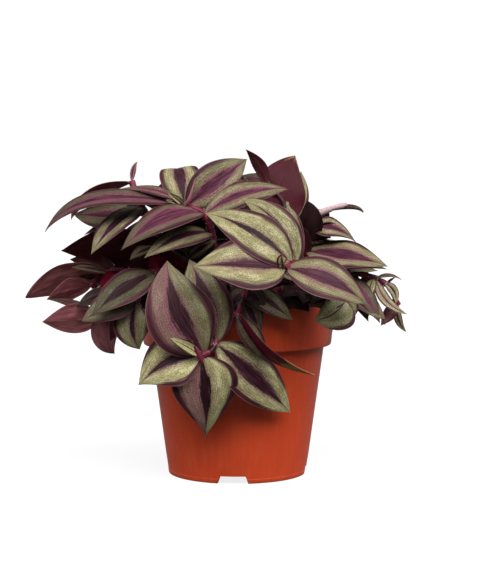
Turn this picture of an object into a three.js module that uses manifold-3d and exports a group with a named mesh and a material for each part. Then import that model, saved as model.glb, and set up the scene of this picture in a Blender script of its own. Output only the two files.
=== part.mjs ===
// A potted tradescantia: leafy stems rooted in the soil of a tapered nursery pot.
// Millimetres, +Z up, origin on the pot's axis at the foot, the front towards -Y.

import * as THREE from 'three';
import { mergeVertices } from 'three/addons/utils/BufferGeometryUtils.js';
import Module from 'manifold-3d';

const wasm = await Module();
wasm.setup();

// Pot
const footRadius = 42;
const shoulderRadius = 52.9;
const shoulderHeight = 78.7;
const collarRadius = 57.1;
const rimRadius = 60;
const rimHeight = 104;
const wall = 1.3;
const edgeRound = 0.8;
const footWidth = 1.7;
const floorHeight = 5;
const floorThickness = 1.5;
const middleFoot = 14;
const middleSlope = 2.5;
const potSides = 44;
const notchCount = 4;
const notchWidth = 16;
const notchHeight = 4.5;
const notchAngle = -93.6;
const drainCount = 6;
const drainCircle = 28;
const drainRadius = 4;

// Soil
const soilHeight = 94;
const soilRadius = 58.7;
const soilMound = 2;
const clearance = 0.3;
const rootDepth = 12;
const rootRise = 0.5;
const holeRadius = 3.4;
const past = 1;

// Stems
const stemRadius = 1.7;
const stemSides = 5;
const stemSteps = 8;
const holeSides = 6;
const claspSteps = 60;

// Leaf blades
const bladeThickness = 0.8;
const bladePlaces = [0, 0.12, 0.36, 0.66, 0.97];
const bladeRoot = 0.9;
const bladeRise = 0.75;
const bladeCrown = 0.22;
const plainForm = [0, 0.5, 0, 0.3, 0, 1.1];

// The front stems are drawn as they are seen from sightX, sightY, sightZ: a point is its x and z
// on the upright plane through the pot's axis, and the depth to which it is slid along the sight line.
const sightX = 1.3;
const sightY = -900;
const sightZ = 171;

// Each path is the stem from the soil to its growing tip. Each leaf is its base, its tip, its width,
// the way its upper face looks and, where it isn't plain, its form: the height of the midrib's arch,
// where along the leaf the arch peaks, its sideways sway, the rise of its edges, its twist and how
// sharply it narrows to the tip.
const drawnStems = [
  {
    "name": "front",
    "path": [
      [-4, 94, -24], [-6, 112, -38], [-8, 115, -55], [-9, 103, -63.5],
      [-12, 85, -66.5], [-15, 75, -70], [-22, 71, -71]
    ],
    "leaves": [
      [[-13, 78, -69], [-29.3, 130, -54], 29, [0.2, -1, 0.3], [5, 0.5, 1]],
      [[-12, 78, -67], [32.5, 36, -46], 29, [0.1, -1, 0.3], [3, 0.55, 0]],
      [[-21, 73, -70], [-42.7, 129.3, -64], 39, [0, -1, 0.25], [5, 0.5, -5]],
      [[-21, 70, -71], [-19.5, 20.3, -55], 38, [0.1, -1, 0.3], [4, 0.45, -1, 0.3, 0, 1.6]],
      [[-22, 71, -71], [-60.5, 53, -66], 32, [-0.2, -1, 0.3], [3, 0.4, 4]],
      [[-22, 71, -72], [-41, 82, -80], 8, [0.1, -1, 0.4], [1]]
    ]
  },
  {
    "name": "front_side",
    "path": [[7, 94, -34], [8, 108, -46], [6, 112, -58], [3, 104, -65], [0, 95, -66]],
    "leaves": [
      [[1, 98, -66], [47.5, 59.3, -70], 18, [0.45, 0.3, 0.6], [-8, 0.5, 0]],
      [[0, 95, -65], [18, 67, -62], 13, [0.3, -1, 0.3], [2]],
      [[7, 110, -57], [33.7, 92.7, -62], 15, [0.2, -1, 0.5], [2]],
      [[8, 109, -48], [-7, 99, -52], 16, [-0.2, -0.8, 0.5], [3]]
    ]
  },
  {
    "name": "front_right",
    "path": [[24, 94, -18], [32, 108, -32], [36, 122, -52], [35, 128, -62], [29, 124, -70]],
    "leaves": [
      [[36, 126, -58], [30, 163.3, -38], 13, [-0.5, -0.8, 0.2], [2, 0.5, 3]],
      [[35, 127, -60], [3, 166.5, -50], 20, [-0.2, -0.8, 0.6], [3, 0.5, 6]],
      [[33, 127, -65], [-19.5, 158, -52], 28, [-0.1, -0.75, 0.65], [9, 0.45, 0]],
      [[30, 123, -69], [79, 102.3, -66], 28, [0.1, -0.75, 0.65], [6, 0.5, 0]],
      [[29, 123, -70], [-26.8, 125.5, -84], 36, [0, -0.75, 0.65], [3, 0.45, 0]],
      [[29, 125, -71], [27, 133, -73], 4, [-0.5, -1, 0], [1]]
    ]
  },
  {
    "name": "top_left",
    "path": [[-10, 94, -6], [-13, 118, -22], [-15, 142, -34], [-20, 157, -41], [-32, 163, -38]],
    "leaves": [
      [[-14, 144, -40], [-56.7, 130.7, -64], 20, [-0.1, -0.7, 0.7], [6, 0.45, 0]],
      [[-20, 157, -42], [31, 172.5, -22], 22, [0.2, -0.6, 0.8], [7, 0.45, 0]],
      [[-21, 157, -43], [-70.7, 135.5, -62], 26, [-0.2, -0.6, 0.8], [8, 0.45, 0]],
      [[-32, 163, -38], [-117, 146.5, -34], 20.5, [-0.1, -0.4, 0.9], [14, 0.7, 0, 0.3, 12, 1.15]],
      [[-31, 162, -38], [5.8, 190.8, -20], 24.5, [0.3, -0.9, 0.2], [4, 0.5, -0.5]],
      [[-33, 163, -38], [-37, 181.5, 5], 24, [0, -0.8, 0.6], [12, 0.42, 0, 0.3, 0, 1.3]],
      [[-31, 162, -39], [-25.5, 179, -40], 4, [-0.5, -1, 0], [0.5]]
    ]
  },
  {
    "name": "upper_left",
    "path": [[-30, 94, -4], [-38, 120, -14], [-48, 146, -24], [-58, 162, -26], [-64, 177, -18]],
    "leaves": [
      [[-44, 136, -24], [-65.5, 129.5, -50], 14, [-0.2, -0.6, 0.8], [3]],
      [[-46, 140, -21], [-107.3, 135.2, -12], 28, [0, 0.8, 0.6], [4, 0.6, 2, 0.2]],
      [[-56, 159, -24], [-99.5, 157.5, -8], 23, [0, -0.7, 0.7], [0, 0.6, -1.5]],
      [[-58, 162, -28], [-89, 133, -54], 20, [-0.4, -0.7, 0.5], [4]],
      [[-64, 176, -18], [-101, 154, -14], 14, [0, 0.4, 0.9], [7, 0.75, 0]],
      [[-64, 177, -18], [-60.5, 189.3, -12], 5.5, [0.3, -1, 0], [0.5, 0.5, -1.5]]
    ]
  },
  {
    "name": "back_top",
    "path": [[16, 94, 12], [22, 122, 14], [28, 148, 16], [28, 164, 18], [18, 175, 20]],
    "leaves": [
      [[28, 145, 16], [35, 193, 30], 33, [0.1, 1, 0.3], [-3, 0.5, 6, 0.3, 0, 0.95]],
      [[18, 175, 20], [5, 196.7, 15], 10, [0.5, 0.8, 0.3], [2, 0.5, -1]],
      [[28, 152, 17], [38.5, 183.5, 30], 15, [0.2, -1, 0.2], [1, 0.5, 3]],
      [[20, 173, 20], [2, 176, 50], 20, [-0.2, 0.3, 1], [6]]
    ]
  },
  {
    "name": "right",
    "path": [[30, 94, 0], [38, 120, -4], [43, 140, -8], [46, 154, 0], [47, 160, 10]],
    "leaves": [
      [[39, 126, -4], [85.5, 123, -3], 17, [0.1, -0.6, 0.75], [2]],
      [[42, 134, -10], [91.5, 125.7, -25], 27, [0.1, -0.6, 0.75], [2.5]],
      [[45, 149, -3], [72.5, 140, -5], 19, [0.2, -0.6, 0.75], [5, 0.5, 0, 0.3, 0, 1.6]],
      [[47, 156, 6], [76.5, 158.5, 12], 7, [0, -0.5, 1], [3, 0.8, 0, 0.3, 0, 0.8]],
      [[44, 139, -9], [42.5, 165.5, -14], 14.5, [0.1, 1, 0.1], [-2, 0.5, -2, 0.3, 0, 0.85]],
      [[47, 160, 10], [50, 146, 44], 14, [0.2, 0.2, 1], [5]]
    ]
  },
  {
    "name": "far_right",
    "path": [
      [40, 94, -8], [54, 109, -14], [70, 120.5, -17], [84, 118.5, -15], [92, 113, -14], [98, 102, -13]
    ],
    "leaves": [
      [[66, 110, -18], [90, 93.5, -24], 16, [0.2, -0.7, 0.6], [3, 0.5, 1.5, 0.3, 0, 0.9]],
      [[90, 116, -14], [96.6, 102.8, -18], 7, [0.4, -0.8, 0.3], [1, 0.5, -2.5]],
      [[82, 121.5, -12], [79, 103, -22], 7, [-0.3, -1, 0.2], [1.5]],
      [[84, 121, -13], [103.6, 96.6, -20], 8, [0.3, -0.7, 0.4], [0, 0.5, 5]],
      [[98, 102, -13], [103.4, 85.5, -13], 5, [0, -1, 0.1], [0.5, 0.5, 2.5]],
      [[98, 103, -13], [87.6, 89.5, -20], 8, [0.3, 1, 0.2], [0]]
    ]
  },
  {
    "name": "rim_right",
    "path": [[34, 94, -26], [44, 108, -38], [56, 112, -44], [66, 106, -50]],
    "leaves": [
      [[66, 106, -50], [43, 102, -56], 13, [0, -0.8, 0.5], [2]],
      [[66, 106, -50], [47, 92.5, -60], 24, [0.1, -1, 0.2], [3, 0.5, -3]],
      [[66, 106, -50], [68, 92, -52], 13, [0.3, -0.8, 0.4], [2]]
    ]
  },
  {
    "name": "inner_right",
    "path": [[16, 94, -36], [19, 104, -40], [23, 110, -43], [28, 112, -46]],
    "leaves": [
      [[20, 106, -41], [1, 108, -25], 15, [-0.1, -0.7, 0.7], [3]],
      [[24, 111, -44], [44, 98, -54], 18, [0.2, -0.8, 0.5], [4]],
      [[28, 112, -46], [50, 108, -56], 12, [0.1, -0.6, 0.8], [1]]
    ]
  },
  {
    "name": "rim_left",
    "path": [[-26, 94, -24], [-36, 112, -36], [-48, 122, -46], [-58, 116, -52], [-62, 104, -54]],
    "leaves": [
      [[-50, 120, -48], [-89, 95.5, -66], 23.5, [-0.3, -0.8, 0.5], [3.5]],
      [[-61, 106, -53], [-95, 92, -57], 20, [-0.3, -0.8, 0.4], [3]],
      [[-62, 104, -54], [-59.5, 75, -56], 22, [-0.1, -1, 0.2], [2, 0.6, 3]],
      [[-61, 108, -52], [-78, 80, -40], 15, [-0.4, 0.8, 0.2], [1]],
      [[-46, 120, -44], [-52, 134, -46], 11, [-0.3, 0.8, 0.3], [1]]
    ]
  },
  {
    "name": "far_left",
    "path": [[-38, 94, -8], [-53, 113, -10], [-67, 123, -10], [-80, 121, -8], [-90, 113, -9]],
    "leaves": [
      [[-77, 122, -8], [-129.3, 106.5, -12], 26, [-0.1, 0.65, 0.75], [5, 0.5, 0, 0.3, 0, 0.85]],
      [[-79, 121, -9], [-101, 125, -24], 10, [-0.1, -0.6, 0.8], [1]],
      [[-88, 113, -9], [-116.3, 105.5, -24], 17, [-0.2, 0.8, 0.6], [2]],
      [[-66, 124, -13], [-84, 107.5, -27], 17, [0.2, 0.95, 0.1], [2]]
    ]
  },
  {
    "name": "low_left",
    "path": [[-34, 94, -18], [-48, 112, -26], [-62, 114, -32], [-76, 103, -34], [-84, 94, -32]],
    "leaves": [
      [[-84, 94, -32], [-119.2, 91.8, -36], 23, [-0.1, 0.8, 0.6], [0]],
      [[-80, 98, -33], [-75, 72.3, -38], 17, [0.2, 1, 0.1], [1, 0.6, -4]],
      [[-72, 107, -33], [-98, 101, -40], 16, [-0.2, -0.6, 0.7], [4]]
    ]
  },
  {
    "name": "inner_left",
    "path": [[-18, 94, -14], [-24, 112, -24], [-29, 124, -34], [-30, 130, -38]],
    "leaves": [
      [[-30, 130, -38], [-12.7, 141.5, -40], 9, [-0.3, -0.8, 0.5], [2]],
      [[-30, 130, -38], [-42, 137, -44], 8, [0.3, -0.8, 0.5], [2]],
      [[-28, 122, -33], [-54, 127, -40], 20, [0, 0.9, 0.4], [4]],
      [[-28, 122, -33], [0, 118, -40], 22, [0.1, -0.7, 0.7], [5]]
    ]
  }
];

// The stems at the back and the sides follow one rule. Each row is a name, the stem's bearing from
// +X, its distance from the axis at the soil, the distance and height of its bend and of its tip,
// the number of leaves, their length, width and droop.
const ruledStems = [
  ["back_low_1", 30, 40, 56, 116, 74, 106, 5, 46, 26, 36],
  ["back_low_2", 79, 40, 56, 123, 76, 114, 5, 48, 26, 36],
  ["back_low_3", 115, 40, 56, 112, 74, 99, 5, 48, 26, 36],
  ["back_low_4", 163, 40, 56, 124, 74, 120, 5, 46, 26, 34],
  ["back_middle_1", 45, 26, 42, 140, 60, 136, 4, 45, 25, 28],
  ["back_middle_2", 94, 26, 40, 153, 56, 156, 4, 45, 25, 28],
  ["back_middle_3", 141, 26, 42, 142, 60, 140, 5, 46, 26, 30],
  ["back_upper_1", 92, 12, 20, 164, 30, 177, 4, 42, 26, 22],
  ["back_upper_2", 150, 14, 22, 170, 38, 177, 4, 40, 25, 24],
  ["centre", 332, 7, 10, 138, 14, 152, 4, 36, 22, 24],
  ["centre_low", 315, 12, 15, 118, 18, 126, 3, 30, 20, 12]
];

// The stems whose leaves grow through each other, each with the name of the solid that they share.
const grownTogether = {
  front_side: 'front_middle',
  inner_right: 'front_middle',
  back_top: 'back_crown',
  back_upper_1: 'back_crown',
  back_upper_2: 'back_crown',
  back_middle_1: 'back_right',
  back_middle_2: 'back_right',
};

// How a ruled stem bends on its way: the share of its reach, swing and rise at its first point.
const swing = 9;
const firstReach = 0.3;
const firstSwing = 0.2;
const firstRise = 0.6;
const bendSwing = 0.6;

// How a ruled stem's leaves stand, from the first node, a share of the stem's length, to its tip.
// A spread is the most by which a drawn number leaves its rule.
const firstNode = 0.72;
const sideTurn = 62;
const tipTurn = 26;
const turnSpread = 8;
const lastTurnSpread = 12;
const firstDroop = 0.4;
const droopSpread = 6;
const tipShrink = 0.3;
const reachSpread = 0.08;
const facesOut = 0.3;
const facesUp = 0.9;
const facesSpread = 0.2;
const archShare = 0.16;
const archSpread = 1.2;
const swaySpread = 2;

// A seed for each ruled stem, and the steps of the draw.
const bearingSeed = 37;
const reachSeed = 101;
const drawFactor = 16807;
const drawLimit = 2147483647;

const degrees = Math.PI / 180;
const upward = new THREE.Vector3(0, 0, 1);

// A repeatable draw of numbers between a limit below nought and the same above.
function drawFrom(seed) {
  let state = seed;
  return (limit) => {
    state = (state * drawFactor) % drawLimit;
    return limit * (2 * state / drawLimit - 1);
  };
}

function seen([x, z, depth]) {
  const slide = 1 - depth / sightY;
  return new THREE.Vector3(
    sightX + (x - sightX) * slide,
    depth,
    sightZ + (z - sightZ) * slide,
  );
}

function polar(radius, bearing, height) {
  return new THREE.Vector3(
    radius * Math.cos(bearing * degrees),
    radius * Math.sin(bearing * degrees),
    height,
  );
}

// Solids are joined and cut as closed meshes that share their vertices.
function toSolid(geometry) {
  const bare = geometry.clone();
  bare.deleteAttribute('normal');
  bare.deleteAttribute('uv');
  const merged = mergeVertices(bare);
  return new wasm.Manifold(new wasm.Mesh({
    numProp: 3,
    vertProperties: merged.attributes.position.array,
    triVerts: Uint32Array.from(merged.index.array),
  }));
}

function toGeometry(solid) {
  const { vertProperties, triVerts } = solid.getMesh();
  const geometry = new THREE.BufferGeometry();
  geometry.setAttribute('position', new THREE.BufferAttribute(vertProperties, 3));
  geometry.setIndex(new THREE.BufferAttribute(triVerts, 1));
  geometry.computeVertexNormals();
  return geometry;
}

function named(name, geometry, material) {
  const mesh = new THREE.Mesh(geometry, material);
  mesh.name = name;
  return mesh;
}

function turned(profile) {
  const points = profile.map(([radius, height]) => new THREE.Vector2(radius, height));
  const geometry = new THREE.LatheGeometry(points, potSides);
  geometry.rotateX(Math.PI / 2);
  return toSolid(geometry);
}

function upright(radius, bottom, top, sides, x, y) {
  const geometry = new THREE.CylinderGeometry(radius, radius, top - bottom, sides);
  geometry.rotateX(Math.PI / 2);
  geometry.translate(x, y, (bottom + top) / 2);
  return toSolid(geometry);
}

// The radius of the tapered body's outside at a height.
function bodyRadius(height) {
  return footRadius + (shoulderRadius - footRadius) * height / shoulderHeight;
}

const floorTop = floorHeight + floorThickness;

function potSolid() {
  let pot = turned([
    [0, 0],
    [middleFoot, 0],
    [middleFoot + middleSlope, floorHeight],
    [footRadius - footWidth - 2 * edgeRound, floorHeight],
    [footRadius - footWidth, floorHeight - 2 * edgeRound],
    [footRadius - footWidth, 0],
    [footRadius - edgeRound / 2, 0],
    [bodyRadius(edgeRound), edgeRound],
    [shoulderRadius, shoulderHeight],
    [collarRadius - edgeRound, shoulderHeight],
    [collarRadius, shoulderHeight + edgeRound],
    [rimRadius, rimHeight - edgeRound],
    [rimRadius - edgeRound / 2, rimHeight],
    [rimRadius - wall, rimHeight],
    [collarRadius - wall, shoulderHeight + wall + edgeRound],
    [shoulderRadius - wall, shoulderHeight + wall],
    [bodyRadius(floorTop) - wall, floorTop],
    [middleFoot + middleSlope - wall, floorTop],
    [middleFoot - wall, floorThickness],
    [0, floorThickness],
  ]);
  for (let k = 0; k < notchCount; k += 1) {
    const notch = new THREE.BoxGeometry(footRadius / 2, notchWidth, 2 * notchHeight);
    notch.translate(footRadius, 0, 0);
    notch.rotateZ((notchAngle + 360 * k / notchCount) * degrees);
    pot = pot.subtract(toSolid(notch));
  }
  for (let k = 0; k < drainCount; k += 1) {
    const place = polar(drainCircle, 360 * k / drainCount, 0);
    const hole = upright(drainRadius, floorHeight - past, floorTop + past, holeSides, place.x, place.y);
    pot = pot.subtract(hole);
  }
  return pot;
}

function soilSolid(roots) {
  const inner = wall + clearance;
  let soil = turned([
    [0, floorThickness + clearance],
    [middleFoot - inner, floorThickness + clearance],
    [middleFoot + middleSlope - inner, floorTop + clearance],
    [bodyRadius(floorTop) - inner, floorTop + clearance],
    [shoulderRadius - inner, shoulderHeight + wall],
    [collarRadius - inner, shoulderHeight + wall + edgeRound + clearance],
    [soilRadius - inner, soilHeight],
    [0, soilHeight + soilMound],
  ]);
  const bottom = soilHeight - rootDepth - clearance;
  for (const root of roots) {
    const top = soilHeight + 2 * soilMound;
    soil = soil.subtract(upright(holeRadius, bottom, top, holeSides, root.x, root.y));
  }
  return soil;
}

// A stem stands upright in its hole and then follows its path.
function stemCurve(points) {
  const [root, ...rest] = points;
  const heights = [soilHeight - rootDepth, soilHeight - rootDepth / 2, soilHeight + rootRise];
  const standing = heights.map((height) => new THREE.Vector3(root.x, root.y, height));
  return new THREE.CatmullRomCurve3([...standing, ...rest], false, 'catmullrom', 0.5);
}

function stemSolid(curve) {
  const corners = [];
  for (let k = 0; k < stemSides; k += 1) {
    const corner = polar(stemRadius, 360 * k / stemSides, 0);
    corners.push(new THREE.Vector2(corner.x, corner.y));
  }
  return toSolid(new THREE.ExtrudeGeometry(new THREE.Shape(corners), {
    steps: stemSteps,
    bevelEnabled: false,
    extrudePath: curve,
  }));
}

// The point of a stem nearest to a leaf's drawn base, where the leaf clasps it.
function clasp(curve, base) {
  let nearest = curve.getPoint(1);
  for (let k = claspSteps / 2; k < claspSteps; k += 1) {
    const point = curve.getPoint(k / claspSteps);
    if (point.distanceTo(base) < nearest.distanceTo(base)) {
      nearest = point;
    }
  }
  return nearest;
}

// A blade's width along it, 1 where it is broadest.
function outline(t, fall) {
  const broadest = bladeRise / (bladeRise + fall);
  return (t / broadest) ** bladeRise * ((1 - t) / (1 - broadest)) ** fall;
}

// One blade: six-point sections swept along an arched midrib, both faces triangulated alike.
function bladeSolid({ base, tip, width, faces, form }) {
  const [arch, peak, sway, cup, twist, fall] = plainForm.map((plain, k) => form[k] ?? plain);
  const chord = tip.clone().sub(base);
  const along = chord.clone().normalize();
  const up = faces.clone().addScaledVector(along, -faces.dot(along)).normalize();
  const across = along.clone().cross(up);
  const crest = base.clone().addScaledVector(chord, peak)
    .addScaledVector(up, 2 * arch).addScaledVector(across, 2 * sway);
  const midrib = new THREE.QuadraticBezierCurve3(base, crest, tip);
  const steps = bladePlaces.length - 1;
  const positions = [];
  for (const t of bladePlaces) {
    const middle = midrib.getPoint(t);
    const forward = midrib.getTangent(t);
    const level = across.clone().addScaledVector(forward, -across.dot(forward)).normalize();
    const raised = level.clone().cross(forward);
    const turn = twist * degrees * t;
    const side = level.clone().multiplyScalar(Math.cos(turn)).addScaledVector(raised, Math.sin(turn));
    const normal = raised.multiplyScalar(Math.cos(turn)).addScaledVector(level, -Math.sin(turn));
    const half = Math.max(bladeRoot, width / 2 * outline(t, fall));
    const lift = half * (cup - bladeCrown);
    for (const [place, face] of [[-1, 1], [0, 1], [1, 1], [1, -1], [0, -1], [-1, -1]]) {
      const height = Math.abs(place) * lift + face * bladeThickness / 2;
      const corner = middle.clone().addScaledVector(side, place * half)
        .addScaledVector(normal, height);
      positions.push(corner.x, corner.y, corner.z);
    }
  }
  const index = [];
  for (let i = 0; i < steps; i += 1) {
    for (let j = 0; j < 6; j += 1) {
      const a = 6 * i + j;
      const b = 6 * i + (j + 1) % 6;
      if (j < 3) {
        index.push(a, b + 6, a + 6, a, b, b + 6);
      } else {
        index.push(a, b, a + 6, a + 6, b, b + 6);
      }
    }
  }
  const last = 6 * steps;
  index.push(0, 5, 1, 1, 5, 4, 1, 4, 2, 2, 4, 3);
  index.push(last, last + 1, last + 5, last + 1, last + 4, last + 5);
  index.push(last + 1, last + 2, last + 4, last + 2, last + 3, last + 4);
  const geometry = new THREE.BufferGeometry();
  geometry.setAttribute('position', new THREE.Float32BufferAttribute(positions, 3));
  geometry.setIndex(index);
  return toSolid(geometry);
}

function drawnStem({ name, path, leaves }) {
  const points = path.map(seen);
  const curve = stemCurve(points);
  const blades = leaves.map(([base, tip, width, faces, form = []]) => ({
    base: clasp(curve, seen(base)),
    tip: seen(tip),
    width,
    faces: new THREE.Vector3(...faces),
    form,
  }));
  return { name, root: points[0], curve, blades };
}

// A stem at the back: leaves to either side in turn, closing to the last one, which leads on.
function ruledStem([name, bearing, soilReach, bendReach, bendHeight, tipReach, tipHeight,
  count, length, width, droop]) {
  const draw = drawFrom(bearing * bearingSeed + soilReach * reachSeed);
  const bend = draw(swing);
  const points = [
    polar(soilReach, bearing, soilHeight),
    polar(
      soilReach + firstReach * (bendReach - soilReach),
      bearing + firstSwing * bend,
      soilHeight + firstRise * (bendHeight - soilHeight),
    ),
    polar(bendReach, bearing + bendSwing * bend, bendHeight),
    polar(tipReach, bearing + bend, tipHeight),
  ];
  const curve = stemCurve(points);
  const blades = [];
  for (let k = 0; k < count; k += 1) {
    const order = k / (count - 1);
    const place = firstNode + (1 - firstNode) * order;
    const base = curve.getPoint(place);
    const ahead = curve.getTangent(place);
    const hand = k % 2 ? 1 : -1;
    const aside = hand * (sideTurn - tipTurn * order + draw(turnSpread));
    const turn = k < count - 1 ? aside : draw(lastTurnSpread);
    const reach = length * (1 - tipShrink * order ** 2 + draw(reachSpread));
    const heading = polar(1, Math.atan2(ahead.y, ahead.x) / degrees + turn, 0);
    const drop = droop * (firstDroop + (1 - firstDroop) * order) + draw(droopSpread);
    const fall = drop * degrees;
    const tip = base.clone().addScaledVector(heading, reach * Math.cos(fall))
      .addScaledVector(upward, -reach * Math.sin(fall));
    const faces = heading.clone().multiplyScalar(facesOut).addScaledVector(upward, facesUp);
    faces.x += draw(facesSpread);
    faces.y += draw(facesSpread);
    const form = [reach * archShare + draw(archSpread), 0.5, draw(swaySpread)];
    blades.push({ base, tip, width: width * reach / length, faces, form });
  }
  return { name, root: points[0], curve, blades };
}

const terracotta = new THREE.MeshStandardMaterial({ color: 0xb23f24, roughness: 0.4, metalness: 0 });
const peat = new THREE.MeshStandardMaterial({ color: 0x2a1d16, roughness: 0.95, metalness: 0 });
const foliage = new THREE.MeshStandardMaterial({ color: 0x7f8c66, roughness: 0.45, metalness: 0 });

const stems = [...drawnStems.map(drawnStem), ...ruledStems.map(ruledStem)];

function stemAndLeaves({ curve, blades }) {
  return blades.reduce((solid, blade) => solid.add(bladeSolid(blade)), stemSolid(curve));
}

const plant = new THREE.Group();
plant.add(named('pot', toGeometry(potSolid()), terracotta));
plant.add(named('soil', toGeometry(soilSolid(stems.map(({ root }) => root))), peat));

// Stems whose leaves grow through each other are one solid.
const grown = new Map();
for (const stem of stems) {
  const name = grownTogether[stem.name] ?? stem.name;
  const solid = stemAndLeaves(stem);
  grown.set(name, grown.has(name) ? grown.get(name).add(solid) : solid);
}
for (const [name, solid] of grown) {
  plant.add(named(`stem_${name}`, toGeometry(solid), foliage));
}

export default plant;
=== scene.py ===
import math
from collections import namedtuple

import bpy
import numpy as np
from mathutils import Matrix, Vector, noise


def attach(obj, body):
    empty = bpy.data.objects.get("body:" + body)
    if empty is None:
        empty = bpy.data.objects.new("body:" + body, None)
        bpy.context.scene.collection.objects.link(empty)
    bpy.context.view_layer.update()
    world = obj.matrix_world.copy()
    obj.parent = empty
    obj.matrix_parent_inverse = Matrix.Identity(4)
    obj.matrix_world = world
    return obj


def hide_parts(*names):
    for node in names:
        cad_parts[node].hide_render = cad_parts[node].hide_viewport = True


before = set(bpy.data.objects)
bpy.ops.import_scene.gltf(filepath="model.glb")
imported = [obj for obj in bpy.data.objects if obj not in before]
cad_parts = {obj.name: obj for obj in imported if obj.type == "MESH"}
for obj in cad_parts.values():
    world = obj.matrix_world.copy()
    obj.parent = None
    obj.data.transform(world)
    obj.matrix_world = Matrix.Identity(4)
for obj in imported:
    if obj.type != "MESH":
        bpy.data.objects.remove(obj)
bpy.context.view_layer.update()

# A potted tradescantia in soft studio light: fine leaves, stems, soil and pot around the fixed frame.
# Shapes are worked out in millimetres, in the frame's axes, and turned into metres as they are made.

METRE = 0.001
BODY = "root"

# Pot
FOOT_RADIUS = 42
SHOULDER_RADIUS = 52.9
SHOULDER_HEIGHT = 78.7
COLLAR_RADIUS = 57.1
RIM_RADIUS = 60
RIM_HEIGHT = 104
WALL = 1.3
EDGE_ROUND = 0.8
FOOT_WIDTH = 1.7
BEAD_HEIGHT = 2.5
BEAD_TOP = 2.9
BEAD_DEPTH = 0.15
FLOOR_HEIGHT = 5
FLOOR_THICKNESS = 1.5
MIDDLE_FOOT = 14
MIDDLE_SLOPE = 2.5
INSIDE_ROUND = 1.5
LONGEST_STRETCH = 9
NOTCH_COUNT = 4
NOTCH_TOP = 15.2
NOTCH_MOUTH = 18.6
NOTCH_HEIGHT = 4.5
NOTCH_ANGLE = -93.6
NOTCH_ROUND = 0.9
NOTCH_CLEAR = 9
NOTCH_PASSED = 14
BEARING_STEPS = (3, 0.3, 2)

# Soil
SOIL_HEIGHT = 94
SOIL_RADIUS = 58.7
SOIL_MOUND = 2
SOIL_SUNK = 0.6
SOIL_CENTRE = 0.2
CLEARANCE = 0.3
ROOT_DEPTH = 12
ROOT_RISE = 0.5
SOIL_RINGS = 70
SOIL_SIDES = 200
LUMP_SCALE = 0.16
LUMP_HEIGHT = 0.8
LUMP_DETAIL = (0.9, 2.1, 5)
CRUMB_COUNT = 900
CRUMB_SIZE = 0.9
CRUMB_SPREAD = 0.55
CRUMB_SIDES = 5
CRUMB_RINGS = ((0.8, 0.35), (0.85, -0.4))
CRUMB_POLE = 0.7
CRUMB_LEAN = 0.2
CRUMB_ROUGH = 0.3
CRUMB_RISE = 0.15
CRUMB_OUT = 0.2
CRUMB_ROOM = 3
CRUMB_SEED = 90210

# Stems
STEM_RADIUS = 1.7
STEM_TIP_RADIUS = 1.15
NODE_SWELL = 0.3
SWELL_REACH = 0.02
SWELL_FROM_WIDTH = 7
TIP_RINGS = 3
TIP_END = 0.08
STEM_RINGS = 72
STEM_SIDES = 14
SHEATH_LENGTH = 6.5
SHEATH_RADIUS = 1.95
SHEATH_MOUTH = 2.35
SHEATH_PROFILE = np.array([0.86, 0.97, 1, 1, 1, 1, 1, 1, 0.96])
SHEATH_PAST_NODE = 0.8
SHEATH_LEAST = 0.45
SHEATH_FULL_WIDTH = 40
SHEATH_SLIM = 0.72
SHEATH_HAIRS = 12
HAIR_LENGTH = 1.7
HAIR_RADIUS = 0.07
HAIR_SIDES = 3
HAIR_PROFILE = np.array([1, 0.8, 0.55, 0.2])
HAIR_FOOT = 0.96
HAIR_BEND = 0.5
HAIR_OUT = 0.5
HAIR_OUT_SPREAD = 0.25
HAIR_SPREAD = 0.2
HAIR_SHARE = 0.8
HAIR_SHARE_SPREAD = 0.3
SIDEWAYS = (0.31, 0.95, 0.05)

# Kinds of colour on the stems
BARE = 0
SLEEVE = 1
PALE = 2

# Leaf blades
BLADE_THICKNESS = 0.5
BLADE_EDGE = 0.22
BLADE_STEPS = 40
BLADE_SIDES = 14
BLADE_SIDES_EVEN = 0.9
BLADE_ROOT = 0.9
BLADE_TIP = 0.1
TIP_THICKNESS = (1.2, 0.1)
BLADE_RISE = 0.75
BLADE_CROWN = 0.22
BLADE_WAVE = 0.07
WAVE_COUNT = 1.4
WAVE_SPREAD = 0.5
WAVE_LEAST = 0.7
FINE_ENDS = 0.35
RIB_SOFT = 0.04
PLEAT_DEPTH = 0.05
PLEAT_PITCH = 2.6
PLEAT_FADE = (1.02, 0.8)
PLEAT_FULL_WIDTH = 3
PATTERNS_APART = 3.7

# Smaller leaves low on each stem
INNER_GAP = 12
INNER_RISE = 6
INNER_LENGTH = 29
INNER_WIDTH = 17
INNER_DROOP = 18
INNER_ARCH = 3
INNER_TURN = 35
INNER_SPREAD = 0.15
INNER_STEPS = 200
OVER_RIM = 109
OVER_SOIL = 99
RIM_ROOM = 3
FRONT_KEPT_CLEAR = -46
BEHIND = 90
BEHIND_TURN = 60
BEHIND_REACH = 24

# The front stems are drawn as they are seen from this point: a point is its x and z on the upright
# plane through the pot's axis, and the depth to which it is slid along the line of sight.
SIGHT = Vector((1.3, -900, 171))
AIM = Vector((1.3, 0, 109.8))
LENS = 91.08
NEAREST = 0.01

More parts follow.
